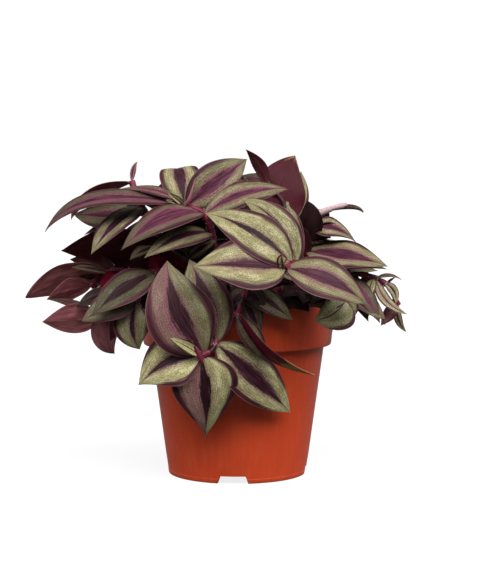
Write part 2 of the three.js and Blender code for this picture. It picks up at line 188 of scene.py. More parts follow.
# Each drawn stem's path, from the soil to its growing tip.
PATHS = {
    "front": [
        [-4, 94, -24], [-6, 112, -38], [-8, 115, -55], [-9, 103, -63.5], [-12, 85, -66.5],
        [-15, 75, -70], [-22, 71, -71],
    ],
    "front_side": [[7, 94, -34], [8, 108, -46], [6, 112, -58], [3, 104, -65], [0, 95, -66]],
    "front_right": [[24, 94, -18], [32, 108, -32], [36, 122, -52], [35, 128, -62], [29, 124, -70]],
    "top_left": [[-10, 94, -6], [-13, 118, -22], [-15, 142, -34], [-20, 157, -41], [-32, 163, -38]],
    "upper_left": [[-30, 94, -4], [-38, 120, -14], [-48, 146, -24], [-58, 162, -26], [-64, 177, -18]],
    "back_top": [[16, 94, 12], [22, 122, 14], [28, 148, 16], [28, 164, 18], [18, 175, 20]],
    "right": [[30, 94, 0], [38, 120, -4], [43, 140, -8], [46, 154, 0], [47, 160, 10]],
    "far_right": [
        [40, 94, -8], [54, 109, -14], [70, 120.5, -17], [84, 118.5, -15], [92, 113, -14],
        [98, 102, -13],
    ],
    "rim_right": [[34, 94, -26], [44, 108, -38], [56, 112, -44], [66, 106, -50]],
    "inner_right": [[16, 94, -36], [19, 104, -40], [23, 110, -43], [28, 112, -46]],
    "rim_left": [[-26, 94, -24], [-36, 112, -36], [-48, 122, -46], [-58, 116, -52], [-62, 104, -54]],
    "far_left": [[-38, 94, -8], [-53, 113, -10], [-67, 123, -10], [-80, 121, -8], [-90, 113, -9]],
    "low_left": [[-34, 94, -18], [-48, 112, -26], [-62, 114, -32], [-76, 103, -34], [-84, 94, -32]],
    "inner_left": [[-18, 94, -14], [-24, 112, -24], [-29, 124, -34], [-30, 130, -38]],
}

# Each drawn stem's leaves, the small ones last. A leaf is its place along the stem in sixtieths, its
# tip, its width, the way its upper face looks, its form and its look. The form is the height of the
# midrib's arch, where along the leaf the arch peaks, its sideways sway, the rise of its edges, its
# twist, how sharply it narrows to the tip and, for a rolled leaf, the turn of each half in degrees.
# The look is the paleness of its bands, how rosy they are, the width of its dark lens as a share of
# the blade's, the crimson glow of light through it, how much rosier its left side is, below nought,
# or its right side, and how much of it is dry from the tip. The paleness also scales the under side
# and stands in for light: above one it is painted light, below nought painted shade that darkens the
# whole leaf. The glow is painted light in the under side's colour. What a row leaves out is plain.
LEAF_PLACES = 60
PLAIN_FORM = [0, 0.5, 0, 0.3, 0, 1.1, 0]
PLAIN_LOOK = [0.5, 0.5, 0.25, 0, 0, 0]
# The inner leaves' look: a paleness below nought, painted shade that darkens them all over.
INNER_SHADE_LOOK = [-0.1]
LEAVES = {
    "front": [
        [50, [-29.3, 130, -54], 29, [0.2, -1, 0.3], [5, 0.5, 1], 0.45, 0.6],
        [49, [32.5, 36, -46], 29, [0.1, -1, 0.3], [3, 0.55], 1.6, 0.5, 0.27],
        [58, [-42.7, 129.3, -64], 39, [0, -1, 0.25], [5, 0.5, -5], 0.55, 0.5, 0.24, 0, -0.6],
        [60, [-19.5, 20.3, -55], 38, [0.1, -1, 0.3], [4, 0.45, -1, 0.3, 0, 1.6], 1.7, 0.5, 0.2, 0, 0.85],
        [60, [-60.5, 53, -66], 32, [-0.2, -1, 0.3], [3, 0.4, 4], 1.5, 0.4, 0.16],
        [60, [-41, 82, -80], 8, [0.1, -1, 0.4], [1, 0.5, 0, 0.3, 0, 1.1, 55], 1.9, 0.1, 0.06],
    ],
    "front_side": [
        [57, [47.5, 59.3, -70], 18, [0.45, 0.3, 0.6], [-8], 0.3, 0.6, 0.25, 0.8, 0, 0.35],
        [60, [18, 67, -62], 13, [0.3, -1, 0.3], [2], 0.3],
        [39, [33.7, 92.7, -62], 15, [0.2, -1, 0.5], [2], 0.2],
        [31, [-7, 99, -52], 16, [-0.2, -0.8, 0.5], [3], 0],
        [47, [14, 84, -62.5], 14, [0.1, -1, 0.1], [1], 0.05],
        [40, [16, 97, -64], 13, [0.1, -0.8, 0.5], [2], -0.1],
    ],
    "front_right": [
        [45, [30, 163.3, -38], 13, [-0.5, -0.8, 0.2], [2, 0.5, 3], 0.85, 0.2, 0.1],
        [48, [3, 166.5, -50], 20, [-0.2, -0.8, 0.6], [3, 0.5, 6], 0.85, 0.25, 0.1],
        [54, [-19.5, 158, -52], 28, [-0.1, -0.75, 0.65], [9, 0.45], 0.95, 0.4, 0.16],
        [59, [79, 102.3, -66], 28, [0.1, -0.75, 0.65], [6], 0.65, 0.6, 0.34],
        [60, [-26.8, 125.5, -84], 36, [0, -0.75, 0.65], [3, 0.45], 1, 0.6, 0.17],
        [60, [27, 133, -73], 4, [-0.5, -1, 0], [1, 0.5, 0, 0.3, 0, 1.1, 120]],
    ],
    "top_left": [
        [42, [-56.7, 130.7, -64], 20, [-0.1, -0.7, 0.7], [6, 0.45], 0.4, 0.6],
        [50, [31, 172.5, -22], 22, [0.2, -0.6, 0.8], [7, 0.45], 0.45, 0.8, 0.22],
        [51, [-70.7, 135.5, -62], 26, [-0.2, -0.6, 0.8], [8, 0.45], 0.2, 1, 0.4],
        [
            60, [-117, 146.5, -34], 20.5, [-0.1, -0.4, 0.9],
            [14, 0.7, 0, 0.3, 12, 1.15], 0.15, 1, 0.2, 0, -0.6,
        ],
        [59, [5.8, 190.8, -20], 24.5, [0.3, -0.9, 0.2], [4, 0.5, -0.5], 0.5, 0.85, 0.28],
        [60, [-37, 181.5, 5], 24, [0, -0.8, 0.6], [12, 0.42, 0, 0.3, 0, 1.3], 0.8, 0.6],
        [59, [-25.5, 179, -40], 4, [-0.5, -1, 0], [0.5, 0.5, 0, 0.3, 0, 1.1, 100], 0.3, 1, 0.25, 0.7],
        [60, [-43, 171, -44], 5, [0, -1, 0.2], [0.5, 0.5, 0, 0.3, 0, 1.1, 80], 1.6, 0.3, 0.1],
        [60, [-44, 166, -45], 4, [0, -1, 0.4], [0.5]],
        [44, [-40, 139, -20], 22, [0, -0.6, 0.8], [3], -0.1],
        [60, [-72, 172.5, -30], 10, [0, -0.5, 0.9], [5, 0.4], 0.1, 1, 0.2, 0, -0.4],
        [41, [-27, 122, -22], 20, [-0.2, -0.9, 0.4], [3], -0.1],
        [38, [4, 150, -12], 22, [0.1, -0.8, 0.6], [3], -0.2],
        [48, [8, 159, -14], 20, [0.1, -0.8, 0.6], [3], -0.1],
        [40, [-40, 134, -12], 20, [0, -0.8, 0.6], [2], -0.2],
        [49, [-42, 152, -10], 18, [0, -0.8, 0.6], [1], -0.2],
    ],
    "upper_left": [
        [36, [-65.5, 129.5, -50], 14, [-0.2, -0.6, 0.8], [3]],
        [37, [-107.3, 135.2, -12], 28, [0, 0.8, 0.6], [4, 0.6, 2, 0.2], 0.3, 0.5, 0.25, 0.35],
        [48, [-99.5, 157.5, -8], 23, [0, -0.7, 0.7], [0, 0.6, -1.5], -0.05],
        [50, [-89, 133, -54], 20, [-0.4, -0.7, 0.5], [4], 0.4],
        [60, [-101, 154, -14], 14, [0, 0.4, 0.9], [7, 0.75], 1.5, 0.5, 0.25, 0.5],
        [
            60, [-60.5, 189.3, -12], 5.5, [0.3, -1, 0],
            [0.5, 0.5, -1.5, 0.3, 0, 1.1, 95], 1, 1, 0.25, 0.3, 1,
        ],
        [50, [-88, 148, -6], 18, [0, -0.7, 0.7], [2], -0.2],
        [42, [-76, 138, -8], 18, [0, -0.7, 0.7], [2], -0.2],
        [36, [-66, 124, -12], 20, [0, 0.8, 0.5], [2], 0.2, 0.5, 0.25, 0.3],
        [34, [-56, 142, -22], 18, [0, 0.8, 0.5], [2], 0.25, 0.5, 0.25, 0.2],
        [48, [-93, 145, -16], 12, [0, -0.6, 0.8], [2], -0.1],
    ],
    "back_top": [
        [39, [35, 193, 30], 33, [0.1, 1, 0.3], [-3, 0.5, 6, 0.3, 0, 0.95], -0.55, 0.5, 0.25, 0.3, 0, 0.1],
        [60, [5, 196.7, 15], 10, [0.5, 0.8, 0.3], [2, 0.5, -1], 0.4, 0.5, 0.25, 0.2],
        [42, [38.5, 183.5, 30], 15, [0.2, -1, 0.2], [1, 0.5, 3], 0.9, 0.1],
        [58, [2, 176, 50], 20, [-0.2, 0.3, 1], [6]],
        [47, [2, 160, 24], 18, [0, -0.7, 0.7], [3], -0.2],
        [59, [3, 181, 28], 12, [0, -0.8, 0.6], [1], -0.1],
    ],
    "right": [
        [32, [85.5, 123, -3], 17, [0.1, -0.6, 0.75], [2]],
        [37, [91.5, 125.7, -25], 27, [0.1, -0.6, 0.75], [2.5], 0.6, 0.7, 0.34],
        [46, [72.5, 140, -5], 19, [0.2, -0.6, 0.75], [5, 0.5, 0, 0.3, 0, 1.6], 0.6, 0.8, 0.3],
        [55, [76.5, 158.5, 12], 7, [0, -0.5, 1], [3, 0.8, 0, 0.3, 0, 0.8, 150], 0.35, 1],
        [40, [42.5, 165.5, -14], 14.5, [0.1, 1, 0.1], [-2, 0.5, -2, 0.3, 0, 0.85], 0.14],
        [60, [50, 146, 44], 14, [0.2, 0.2, 1], [5], -0.1, 0],
        [42, [57, 143, 6], 12, [0, 0.8, 0.6], [2], 0.1],
        [34, [79, 127, -14], 15, [0, 0.8, 0.6], [3], 0.35],
        [35, [41, 149, -22], 9, [0, 1, 0.2], [], 0.5, 0.5, 0.25, 0.25],
        [35, [91, 124, -20], 20, [0.1, -0.35, 0.9], [1.5], 0.5, 1],
    ],
    "far_right": [
        [30, [90, 93.5, -24], 16, [0.2, -0.7, 0.6], [3, 0.5, 1.5, 0.3, 0, 0.9], 0.35, 1],
        [48, [96.6, 102.8, -18], 7, [0.4, -0.8, 0.3], [1, 0.5, -2.5], 0.9, 0.5, 0.2],
        [42, [79, 103, -22], 7, [-0.3, -1, 0.2], [1.5], 0.9, 0.1, 0.05],
        [43, [103.6, 96.6, -20], 8, [0.3, -0.7, 0.4], [0, 0.5, 5], 0.9, 0.9, 0.1],
        [60, [103.4, 85.5, -13], 5, [0, -1, 0.1], [0.5, 0.5, 2.5], 0.6, 0.6],
        [59, [87.6, 89.5, -20], 8, [0.3, 1, 0.2], [], 0.35],
        [39, [78.5, 106.5, -16], 9, [0, 1, 0], [], 0.15],
        [48, [83, 109.5, -20], 8, [0.3, 1, 0.5], [1], 0.3, 0.5, 0.25, 0.35],
        [49, [96.5, 119.5, -14], 1.6, [0, -1, 0.4], [], 0],
        [43, [100, 117.5, -12], 3.5, [0, -0.6, 0.8], [3], 0.5, 1],
        [33, [87, 91, -26], 13, [0.2, -0.7, 0.6], [3], 0.2, 1],
        [31, [77, 112, -10], 12, [0, 0.8, 0.5], [1], 0.1],
        [32, [80, 92, -23], 11, [0.2, -0.7, 0.6], [1], 0.1, 1],
    ],
    "rim_right": [
        [60, [43, 102, -56], 13, [0, -0.8, 0.5], [2]],
        [60, [47, 92.5, -60], 24, [0.1, -1, 0.2], [3, 0.5, -3], 0.8, 0, 0.03],
        [60, [68, 92, -52], 13, [0.3, -0.8, 0.4], [2], 0.5, 0.5, 0.25, 0.2, 0, 0.4],
        [36, [40, 103, -66], 14, [0.1, -0.6, 0.8], [3], -0.1],
        [41, [56, 104, -62], 14, [0.3, -0.6, 0.8], [3], -0.1],
        [34, [28, 107, -62], 13, [-0.1, -0.6, 0.8], [3], -0.1],
        [48, [46, 104, -64], 15, [0, -0.7, 0.7], [3], -0.1],
    ],
    "inner_right": [
        [39, [1, 108, -25], 15, [-0.1, -0.7, 0.7], [3], -0.25],
        [51, [44, 98, -54], 18, [0.2, -0.8, 0.5], [4], -0.22],
        [60, [50, 108, -56], 12, [0.1, -0.6, 0.8], [1], -0.1],
    ],
    "rim_left": [
        [42, [-89, 95.5, -66], 23.5, [-0.3, -0.8, 0.5], [3.5], 0.15, 0.3, 0.3],
        [58, [-95, 92, -57], 20, [-0.3, -0.8, 0.4], [3], 0.3],
        [60, [-59.5, 75, -56], 22, [-0.1, -1, 0.2], [2, 0.6, 3], 0.6, 0.5, 0.12],
        [57, [-78, 80, -40], 15, [-0.4, 0.8, 0.2], [1], 0.5, 0.5, 0.25, 0.3],
        [38, [-52, 134, -46], 11, [-0.3, 0.8, 0.3], [1], 0.5, 0.5, 0.25, 1],
        [40, [-57.5, 99, -40], 15, [0, -1, 0.2], [2], -0.2],
    ],
    "far_left": [
        [48, [-129.3, 106.5, -12], 26, [-0.1, 0.65, 0.75], [5, 0.5, 0, 0.3, 0, 0.85], 1.8],
        [49, [-101, 125, -24], 10, [-0.1, -0.6, 0.8], [1], 0.3],
        [59, [-116.3, 105.5, -24], 17, [-0.2, 0.8, 0.6], [2], 1.9],
        [39, [-84, 107.5, -27], 17, [0.2, 0.95, 0.1], [2], 0.5, 0.5, 0.25, 1],
        [45, [-102, 130, 0], 15, [0, 0.9, 0.4], [2], 0.15],
        [35, [-78, 134, -4], 16, [0, 0.9, 0.4], [2], 0.1],
    ],
    "low_left": [
        [60, [-119.2, 91.8, -36], 23, [-0.1, 0.8, 0.6], [], 2.1],
        [55, [-75, 72.3, -38], 17, [0.2, 1, 0.1], [1, 0.6, -4], 0.6],
        [47, [-98, 101, -40], 16, [-0.2, -0.6, 0.7], [4], -0.1],
        [60, [-115.5, 105.5, -26], 9, [0, -0.4, 0.9], [3], 0.1, 0.7],
    ],
    "inner_left": [
        [60, [-12.7, 141.5, -40], 9, [-0.3, -0.8, 0.5], [2]],
        [60, [-42, 137, -44], 8, [0.3, -0.8, 0.5], [2]],
        [46, [-54, 127, -40], 20, [0, 0.9, 0.4], [4], 0.5, 0.5, 0.25, 0.9],
        [46, [0, 118, -40], 22, [0.1, -0.7, 0.7], [5]],
    ],
}

# How far a leaf's own look may leave its row, either way.
PALENESS_LIGHT_AND_SHADE_SPREAD = 0.12
ROSY_SPREAD = 0.15
LENS_SPREAD = 0.12

# The stems at the back and the sides follow one rule. Each row is a name, the stem's bearing from
# +X, its distance from the axis at the soil, the distance and height of its bend and of its tip,
# the number of leaves, their length, width and droop.
RULED_STEMS = [
    ["back_low_1", 30, 40, 56, 116, 74, 106, 5, 46, 26, 36],
    ["back_low_2", 79, 40, 56, 123, 76, 114, 5, 48, 26, 36],
    ["back_low_3", 115, 40, 56, 112, 74, 99, 5, 48, 26, 36],
    ["back_low_4", 163, 40, 56, 124, 74, 120, 5, 46, 26, 34],
    ["back_middle_1", 45, 26, 42, 140, 60, 136, 4, 45, 25, 28],
    ["back_middle_2", 94, 26, 40, 153, 56, 156, 4, 45, 25, 28],
    ["back_middle_3", 141, 26, 42, 142, 60, 140, 5, 46, 26, 30],
    ["back_upper_1", 92, 12, 20, 164, 30, 177, 4, 42, 26, 22],
    ["back_upper_2", 150, 14, 22, 170, 38, 177, 4, 40, 25, 24],
    ["centre", 332, 7, 10, 138, 14, 152, 4, 36, 22, 24],
    ["centre_low", 315, 12, 15, 118, 18, 126, 3, 30, 20, 12],
]

# The stems whose leaves grow through each other, each with the name of the solid that they share.
GROWN_TOGETHER = {
    "front_side": "front_middle",
    "inner_right": "front_middle",
    "back_top": "back_crown",
    "back_upper_1": "back_crown",
    "back_upper_2": "back_crown",
    "back_middle_1": "back_right",
    "back_middle_2": "back_right",
}

# How a ruled stem bends on its way: the share of its reach, swing and rise at its first point.
SWING = 9
FIRST_REACH = 0.3
FIRST_SWING = 0.2
FIRST_RISE = 0.6
BEND_SWING = 0.6

# How a ruled stem's leaves stand, from the first node, a share of the stem's length, to its tip.
# A spread is the most by which a drawn number leaves its rule.
FIRST_NODE = 0.72
SIDE_TURN = 62
TIP_TURN = 26
TURN_SPREAD = 8
LAST_TURN_SPREAD = 12
FIRST_DROOP = 0.4
DROOP_SPREAD = 6
TIP_SHRINK = 0.3
REACH_SPREAD = 0.08
FACES_OUT = 0.3
FACES_UP = 0.9
FACES_SPREAD = 0.2
ARCH_SHARE = 0.16
ARCH_SPREAD = 1.2
ARCH_PEAK = 0.5
SWAY_SPREAD = 2

# What the seeds of the draws are made of, and the steps of the draw.
BEARING_SEED = 37
REACH_SEED = 101
NAME_SEED = 31
ORDER_SEED = 7
BLADE_SEED = 1013
BLADE_SEED_START = 77
DRAW_FACTOR = 16807
DRAW_LIMIT = 2147483647

# Shoots that are neither stems nor blades: a curled tip, a pale rolled leaf's sleeve and two rosy
# sleeves at the youngest leaves. Each is the stem that it grows on, its points as seen, its radii
# along it and its colour's kind.
SHOOT_RINGS = 40
SHOOTS = [
    (
        "front_right",
        [
            [25, 125, -71], [24.6, 130, -73], [27.2, 133, -74], [29.8, 131.2, -75], [29, 128.4, -76],
            [27, 127.4, -76],
        ],
        [0.7, 0.6, 0.55, 0.5, 0.45, 0.25],
        0.5,
    ),
    (
        "right",
        [[47, 156, 5], [53, 159.2, 4], [59, 161.4, 4], [66.5, 163.3, 6]],
        [1.5, 2.1, 2.1, 1.8, 1.5, 1.8, 1.2],
        1.5,
    ),
    ("front", [[-21, 66, -73], [-24, 73, -74], [-28, 81, -74]], [0.6, 1.4, 1.0, 0.2], 1),
    ("top_left", [[-33, 161, -41], [-29, 167, -43], [-25.5, 179, -41]], [0.8, 1.2, 0.9, 0.2], 1.38),
]

# The drawn stems that have small leaves behind their upper part.
BACKED_STEMS = ("top_left", "upper_left", "front_right", "right", "inner_left", "rim_left", "far_left")

UPWARD = Vector((0, 0, 1))

Leaf = namedtuple("Leaf", "base place tip width faces form look seed")


def unit(vectors):
    return vectors / np.linalg.norm(vectors, axis=-1, keepdims=True)


def smooth(low, high, value):
    share = np.clip((value - low) / (high - low), 0, 1)
    return share * share * (3 - 2 * share)


def draw_from(seed):
    """A repeatable draw of numbers between a limit below nought and the same above."""
    state = seed

    def draw(limit):
        nonlocal state
        state = state * DRAW_FACTOR % DRAW_LIMIT
        return limit * (2 * state / DRAW_LIMIT - 1)

    return draw


def seen(point):
    """Where a point of the drawn stems is, slid to its depth along the line of sight."""
    x, z, depth = point
    slide = 1 - depth / SIGHT.y
    return Vector((SIGHT.x + (x - SIGHT.x) * slide, depth, SIGHT.z + (z - SIGHT.z) * slide))


def polar(radius, bearing, height):
    angle = math.radians(bearing)
    return Vector((radius * math.cos(angle), radius * math.sin(angle), height))


# Meshes

class Shape:
    """Points and faces in millimetres, with values on each point, that become one mesh piece."""

    def __init__(self):
        self.points = []
        self.faces = []
        self.values = {}
        self.count = 0

    def add(self, points, faces, **values):
        points = np.asarray(points, float).reshape(-1, 3)
        self.points.append(points)
        self.faces.extend([[corner + self.count for corner in face] for face in faces])
        for name, value in values.items():
            self.values.setdefault(name, []).append(np.broadcast_to(value, (len(points), 3)))
        self.count += len(points)

    def piece(self, name, material, slot, nodes=(), sharp=50):
        mesh = bpy.data.meshes.new(name)
        mesh.from_pydata((np.concatenate(self.points) * METRE).tolist(), [], self.faces)
        for key, parts in self.values.items():
            layer = mesh.attributes.new(key, "FLOAT_VECTOR", "POINT")
            layer.data.foreach_set("vector", np.concatenate(parts).astype(np.float32).ravel())
        mesh.validate()
        mesh.polygons.foreach_set("use_smooth", [True] * len(mesh.polygons))
        mesh.set_sharp_from_angle(angle=math.radians(sharp))
        mesh.materials.append(material)
        piece = bpy.data.objects.new(name, mesh)
        bpy.context.scene.collection.objects.link(piece)
        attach(piece, BODY)
        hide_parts(*nodes)


def sheet_faces(rows, columns, first=0, ring=False, flip=False):
    """Faces of a grid of points, row after row; a ring's last column joins its first."""
    faces = []
    for i in range(rows - 1):
        for j in range(columns if ring else columns - 1):
            a = first + i * columns + j
            b = first + i * columns + (j + 1) % columns
            face = [a, b, b + columns, a + columns]
            faces.append(face[::-1] if flip else face)
    return faces


def ring_faces(rows, columns, flip=False):
    """The faces of a closed form of rings, one row each, with a lid on its first and its last."""
    last = (rows - 1) * columns
    lids = [list(range(columns))[::-1], list(range(last, last + columns))]
    lids = [lid[::-1] if flip else lid for lid in lids]
    return sheet_faces(rows, columns, ring=True, flip=flip) + lids


def cross_frames(points):
    """Two directions across a line of points, carried along it without twist."""
    forward = unit(np.gradient(points, axis=0))
    sides = [unit(np.cross(forward[0], SIDEWAYS))]
    for ahead in forward[1:]:
        kept = sides[-1] - ahead * (sides[-1] @ ahead)
        sides.append(unit(kept))
    sides = np.array(sides)
    return sides, np.cross(forward, sides)


def tube(shape, points, radii, corners, kind):
    """A closed tube along points, with a radius at each and one kind of colour."""
    points = np.asarray(points, float)
    side, other = cross_frames(points)
    angles = np.linspace(0, 2 * math.pi, corners, endpoint=False)
    rings = points[:, None] + np.asarray(radii)[:, None, None] * (
        side[:, None] * np.cos(angles)[None, :, None] + other[:, None] * np.sin(angles)[None, :, None]
    )
    shape.add(rings, ring_faces(len(points), corners), kind=(kind, 0, 0))


# Stems

class StemCurve:
    """A smooth curve through points, each stretch shaped by its neighbours."""

    def __init__(self, points):
        knots = np.array([tuple(point) for point in points], float)
        self.knots = np.vstack([2 * knots[0] - knots[1], knots, 2 * knots[-1] - knots[-2]])

    def at(self, place):
        stretches = len(self.knots) - 3
        place = np.atleast_1d(np.asarray(place, float)) * stretches
        first = np.clip(place.astype(int), 0, stretches - 1)
        t = (place - first)[:, None]
        before, start, end, after = (self.knots[first + k] for k in range(4))
        leave = (end - before) / 2
        arrive = (after - start) / 2
        bend = -3 * start + 3 * end - 2 * leave - arrive
        fit = 2 * start - 2 * end + leave + arrive
        return start + leave * t + bend * t ** 2 + fit * t ** 3

    def point(self, place):
        return Vector(self.at(place)[0])

    def heading(self, place, step=0.0001):
        """The way the curve goes at a place."""
        return self.point(min(1, place + step)) - self.point(max(0, place - step))


def rooted(points):
    """The curve of a stem that stands upright in the soil and then follows its points."""
    root = points[0]
    heights = (SOIL_HEIGHT - ROOT_DEPTH, SOIL_HEIGHT - ROOT_DEPTH / 2, SOIL_HEIGHT + ROOT_RISE)
    return StemCurve([(root.x, root.y, height) for height in heights] + points[1:])


def letters(name):
    """A number that stands for a name in the seeds of the draws."""
    return sum(ord(letter) for letter in name)


def leaf_seed(name, order):
    return letters(name) * NAME_SEED + order * ORDER_SEED + 1


def drawn_stem(name):
    curve = rooted([seen(point) for point in PATHS[name]])
    leaves = []
    for order, (step, tip, width, faces, form, *look) in enumerate(LEAVES[name]):
        place = step / LEAF_PLACES
        base = curve.point(place)
        seed = leaf_seed(name, order)
        leaves.append(Leaf(base, place, seen(tip), width, Vector(faces), form, look, seed))
    return name, curve, leaves


def leaf_tip(base, heading, reach, fall):
    """The tip of a leaf that leads off level by a heading and hangs by an angle in degrees."""
    drop = math.radians(fall)
    return base + heading * reach * math.cos(drop) - UPWARD * reach * math.sin(drop)


def ruled_stem(row):
    """A stem at the back: leaves to either side in turn, closing to the last one, which leads on."""
    name, bearing, soil_reach, bend_reach, bend_height, tip_reach, tip_height, *rest = row
    count, length, width, droop = rest
    draw = draw_from(bearing * BEARING_SEED + soil_reach * REACH_SEED)
    bend = draw(SWING)
    curve = rooted([
        polar(soil_reach, bearing, SOIL_HEIGHT),
        polar(
            soil_reach + FIRST_REACH * (bend_reach - soil_reach),
            bearing + FIRST_SWING * bend,
            SOIL_HEIGHT + FIRST_RISE * (bend_height - SOIL_HEIGHT),
        ),
        polar(bend_reach, bearing + BEND_SWING * bend, bend_height),
        polar(tip_reach, bearing + bend, tip_height),
    ])
    leaves = []
    for k in range(count):
        order = k / (count - 1)
        place = FIRST_NODE + (1 - FIRST_NODE) * order
        base = curve.point(place)
        ahead = curve.heading(place)
        hand = 1 if k % 2 else -1
        aside = hand * (SIDE_TURN - TIP_TURN * order + draw(TURN_SPREAD))
        turn = aside if k < count - 1 else draw(LAST_TURN_SPREAD)
        reach = length * (1 - TIP_SHRINK * order ** 2 + draw(REACH_SPREAD))
        heading = polar(1, math.degrees(math.atan2(ahead.y, ahead.x)) + turn, 0)
        fall = droop * (FIRST_DROOP + (1 - FIRST_DROOP) * order) + draw(DROOP_SPREAD)
        faces = heading * FACES_OUT + UPWARD * FACES_UP
        faces.x += draw(FACES_SPREAD)
        faces.y += draw(FACES_SPREAD)
        form = [reach * ARCH_SHARE + draw(ARCH_SPREAD), ARCH_PEAK, draw(SWAY_SPREAD)]
        tip = leaf_tip(base, heading, reach, fall)
        own_width = width * reach / length
        leaves.append(Leaf(base, place, tip, own_width, faces, form, [], leaf_seed(name, k)))
    return name, curve, leaves


def inner_leaves(name, curve, leaves):
    """Smaller leaves that fill the plant's inside, darkened all over as painted shade.

    Below a stem's first leaf they stand to either side in turn, and above it they point backwards.
    """
    places = np.linspace(0, 1, INNER_STEPS)
    points = curve.at(places)
    run = np.append(0, np.cumsum(np.linalg.norm(np.diff(points, axis=0), axis=1)))
    first = float(np.interp(min(leaf.place for leaf in leaves), places, run))
    low = run[int(np.argmax(points[:, 2] > SOIL_HEIGHT + INNER_RISE))]
    draw = draw_from(letters(name) * BEARING_SEED)
    start = draw(180)
    spots = []
    for k, along in enumerate(np.arange(first - INNER_GAP / 2, low, -INNER_GAP)):
        spots.append((along, start + 180 * k + draw(INNER_TURN), INNER_LENGTH))
    if name in BACKED_STEMS:
        for along in np.arange(first + INNER_GAP / 3, run[-1] - INNER_GAP / 2, INNER_GAP):
            spots.append((along, BEHIND + draw(BEHIND_TURN), BEHIND_REACH))
    found = []
    for k, (along, bearing, length) in enumerate(spots):
        place = float(np.interp(along, run, places))
        base = curve.point(place)
        heading = polar(1, bearing, 0)
        fall = INNER_DROOP + draw(INNER_DROOP)
        tip = leaf_tip(base, heading, length * (1 + draw(INNER_SPREAD)), fall)
        past_rim = math.hypot(tip.x, tip.y) > SHOULDER_RADIUS - RIM_ROOM
        tip.z = max(tip.z, OVER_RIM if past_rim else OVER_SOIL)
        width = INNER_WIDTH * (1 + draw(INNER_SPREAD))
        faces = heading * FACES_OUT + UPWARD * FACES_UP
        form = [INNER_ARCH + draw(1), ARCH_PEAK, draw(SWAY_SPREAD)]
        if min(base.y, tip.y) > FRONT_KEPT_CLEAR:
            found.append(Leaf(base, place, tip, width, faces, form, INNER_SHADE_LOOK, leaf_seed(name, -1 - k)))
    return found


def stalk(shape, curve, leaves):
    """The stem itself, swollen at its nodes, with a sleeve and its hairs below each leaf."""
    places = np.linspace(0, 1, STEM_RINGS)
    points = curve.at(places)
    radii = STEM_RADIUS + (STEM_TIP_RADIUS - STEM_RADIUS) * places ** 2
    for leaf in leaves:
        if leaf.width > SWELL_FROM_WIDTH:
            radii = radii + NODE_SWELL * np.exp(-((places - leaf.place) / SWELL_REACH) ** 2)
    radii = np.minimum(radii, STEM_RADIUS + NODE_SWELL)
    ends = np.minimum(1, np.sqrt(np.maximum(0, (1 - places) * STEM_RINGS / TIP_RINGS + TIP_END)))
    tube(shape, points, radii * ends, STEM_SIDES, BARE)
    length = float(np.linalg.norm(np.diff(points, axis=0), axis=1).sum())
    for leaf in leaves:
        sheath(shape, curve, leaf, length)


def sheath(shape, curve, leaf, length):
    """The sleeve that a leaf's foot makes round the stem, with hairs at its mouth."""
    size = min(1, SHEATH_LEAST + leaf.width / SHEATH_FULL_WIDTH)
    top = min(1, leaf.place + SHEATH_PAST_NODE / length)
    start = max(0, top - SHEATH_LENGTH * size / length)
    steps = np.linspace(0, 1, len(SHEATH_PROFILE))
    points = curve.at(start + (top - start) * steps)
    radii = SHEATH_RADIUS + (SHEATH_MOUTH - SHEATH_RADIUS) * steps ** 2
    radii = radii * (SHEATH_SLIM + (1 - SHEATH_SLIM) * size) * SHEATH_PROFILE
    tube(shape, points, radii, STEM_SIDES, SLEEVE)
    side, other = cross_frames(points)
    forward = unit(points[-1] - points[-2])
    draw = draw_from(leaf.seed)
    share = np.linspace(0, 1, len(HAIR_PROFILE))[:, None]
    for k in range(SHEATH_HAIRS):
        angle = 2 * math.pi * k / SHEATH_HAIRS + draw(HAIR_SPREAD)
        out = side[-1] * math.cos(angle) + other[-1] * math.sin(angle)
        foot = points[-1] + out * radii[-1] * HAIR_FOOT
        lean = unit(out * (HAIR_OUT + draw(HAIR_OUT_SPREAD)) + forward + draw(HAIR_SPREAD) * side[-1])
        reach = HAIR_LENGTH * (HAIR_SHARE + draw(HAIR_SHARE_SPREAD)) * size
        hair = foot + lean * reach * share + out * (HAIR_BEND * share) ** 2
        tube(shape, hair, HAIR_RADIUS * HAIR_PROFILE, HAIR_SIDES, PALE)


# Leaves

def outline(t, fall):
    """A blade's width along it, 1 where it is broadest."""
    broadest = BLADE_RISE / (BLADE_RISE + fall)
    return (t / broadest) ** BLADE_RISE * ((1 - t) / (1 - broadest)) ** fall


def midrib(leaf, column, arch, peak, sway, twist):
    """The arched midrib's points, the ways across and out of the blade at each, and its length."""
    base = np.array(leaf.base)
    tip = np.array(leaf.tip)
    chord = tip - base
    length = float(np.linalg.norm(chord))
    along = chord / length
    faces = np.array(leaf.faces)
    up = unit(faces - along * (faces @ along))
    across = np.cross(along, up)
    crest = base + chord * peak + up * 2 * arch + across * 2 * sway
    middle = (1 - column) ** 2 * base + 2 * column * (1 - column) * crest + column ** 2 * tip
    forward = unit((1 - column) * (crest - base) + column * (tip - crest))
    level = unit(across - forward * (forward @ across)[:, None])
    raised = np.cross(level, forward)
    turn = np.radians(twist) * column
    side = level * np.cos(turn) + raised * np.sin(turn)
    normal = raised * np.cos(turn) - level * np.sin(turn)
    return middle, side, normal, length


def section(half, u, cup, curl):
    """How far each point across a blade lies to the side and out of it, before its waves."""
    if curl:
        most = math.radians(curl)
        bend = np.radians(curl) * np.abs(u)
        return half * np.sign(u) * np.sin(bend) / most, half * (1 - np.cos(bend)) / most
    ridge = np.sqrt(u ** 2 + RIB_SOFT ** 2) - RIB_SOFT
    return half * u, half * (cup * ridge - BLADE_CROWN * u ** 2)


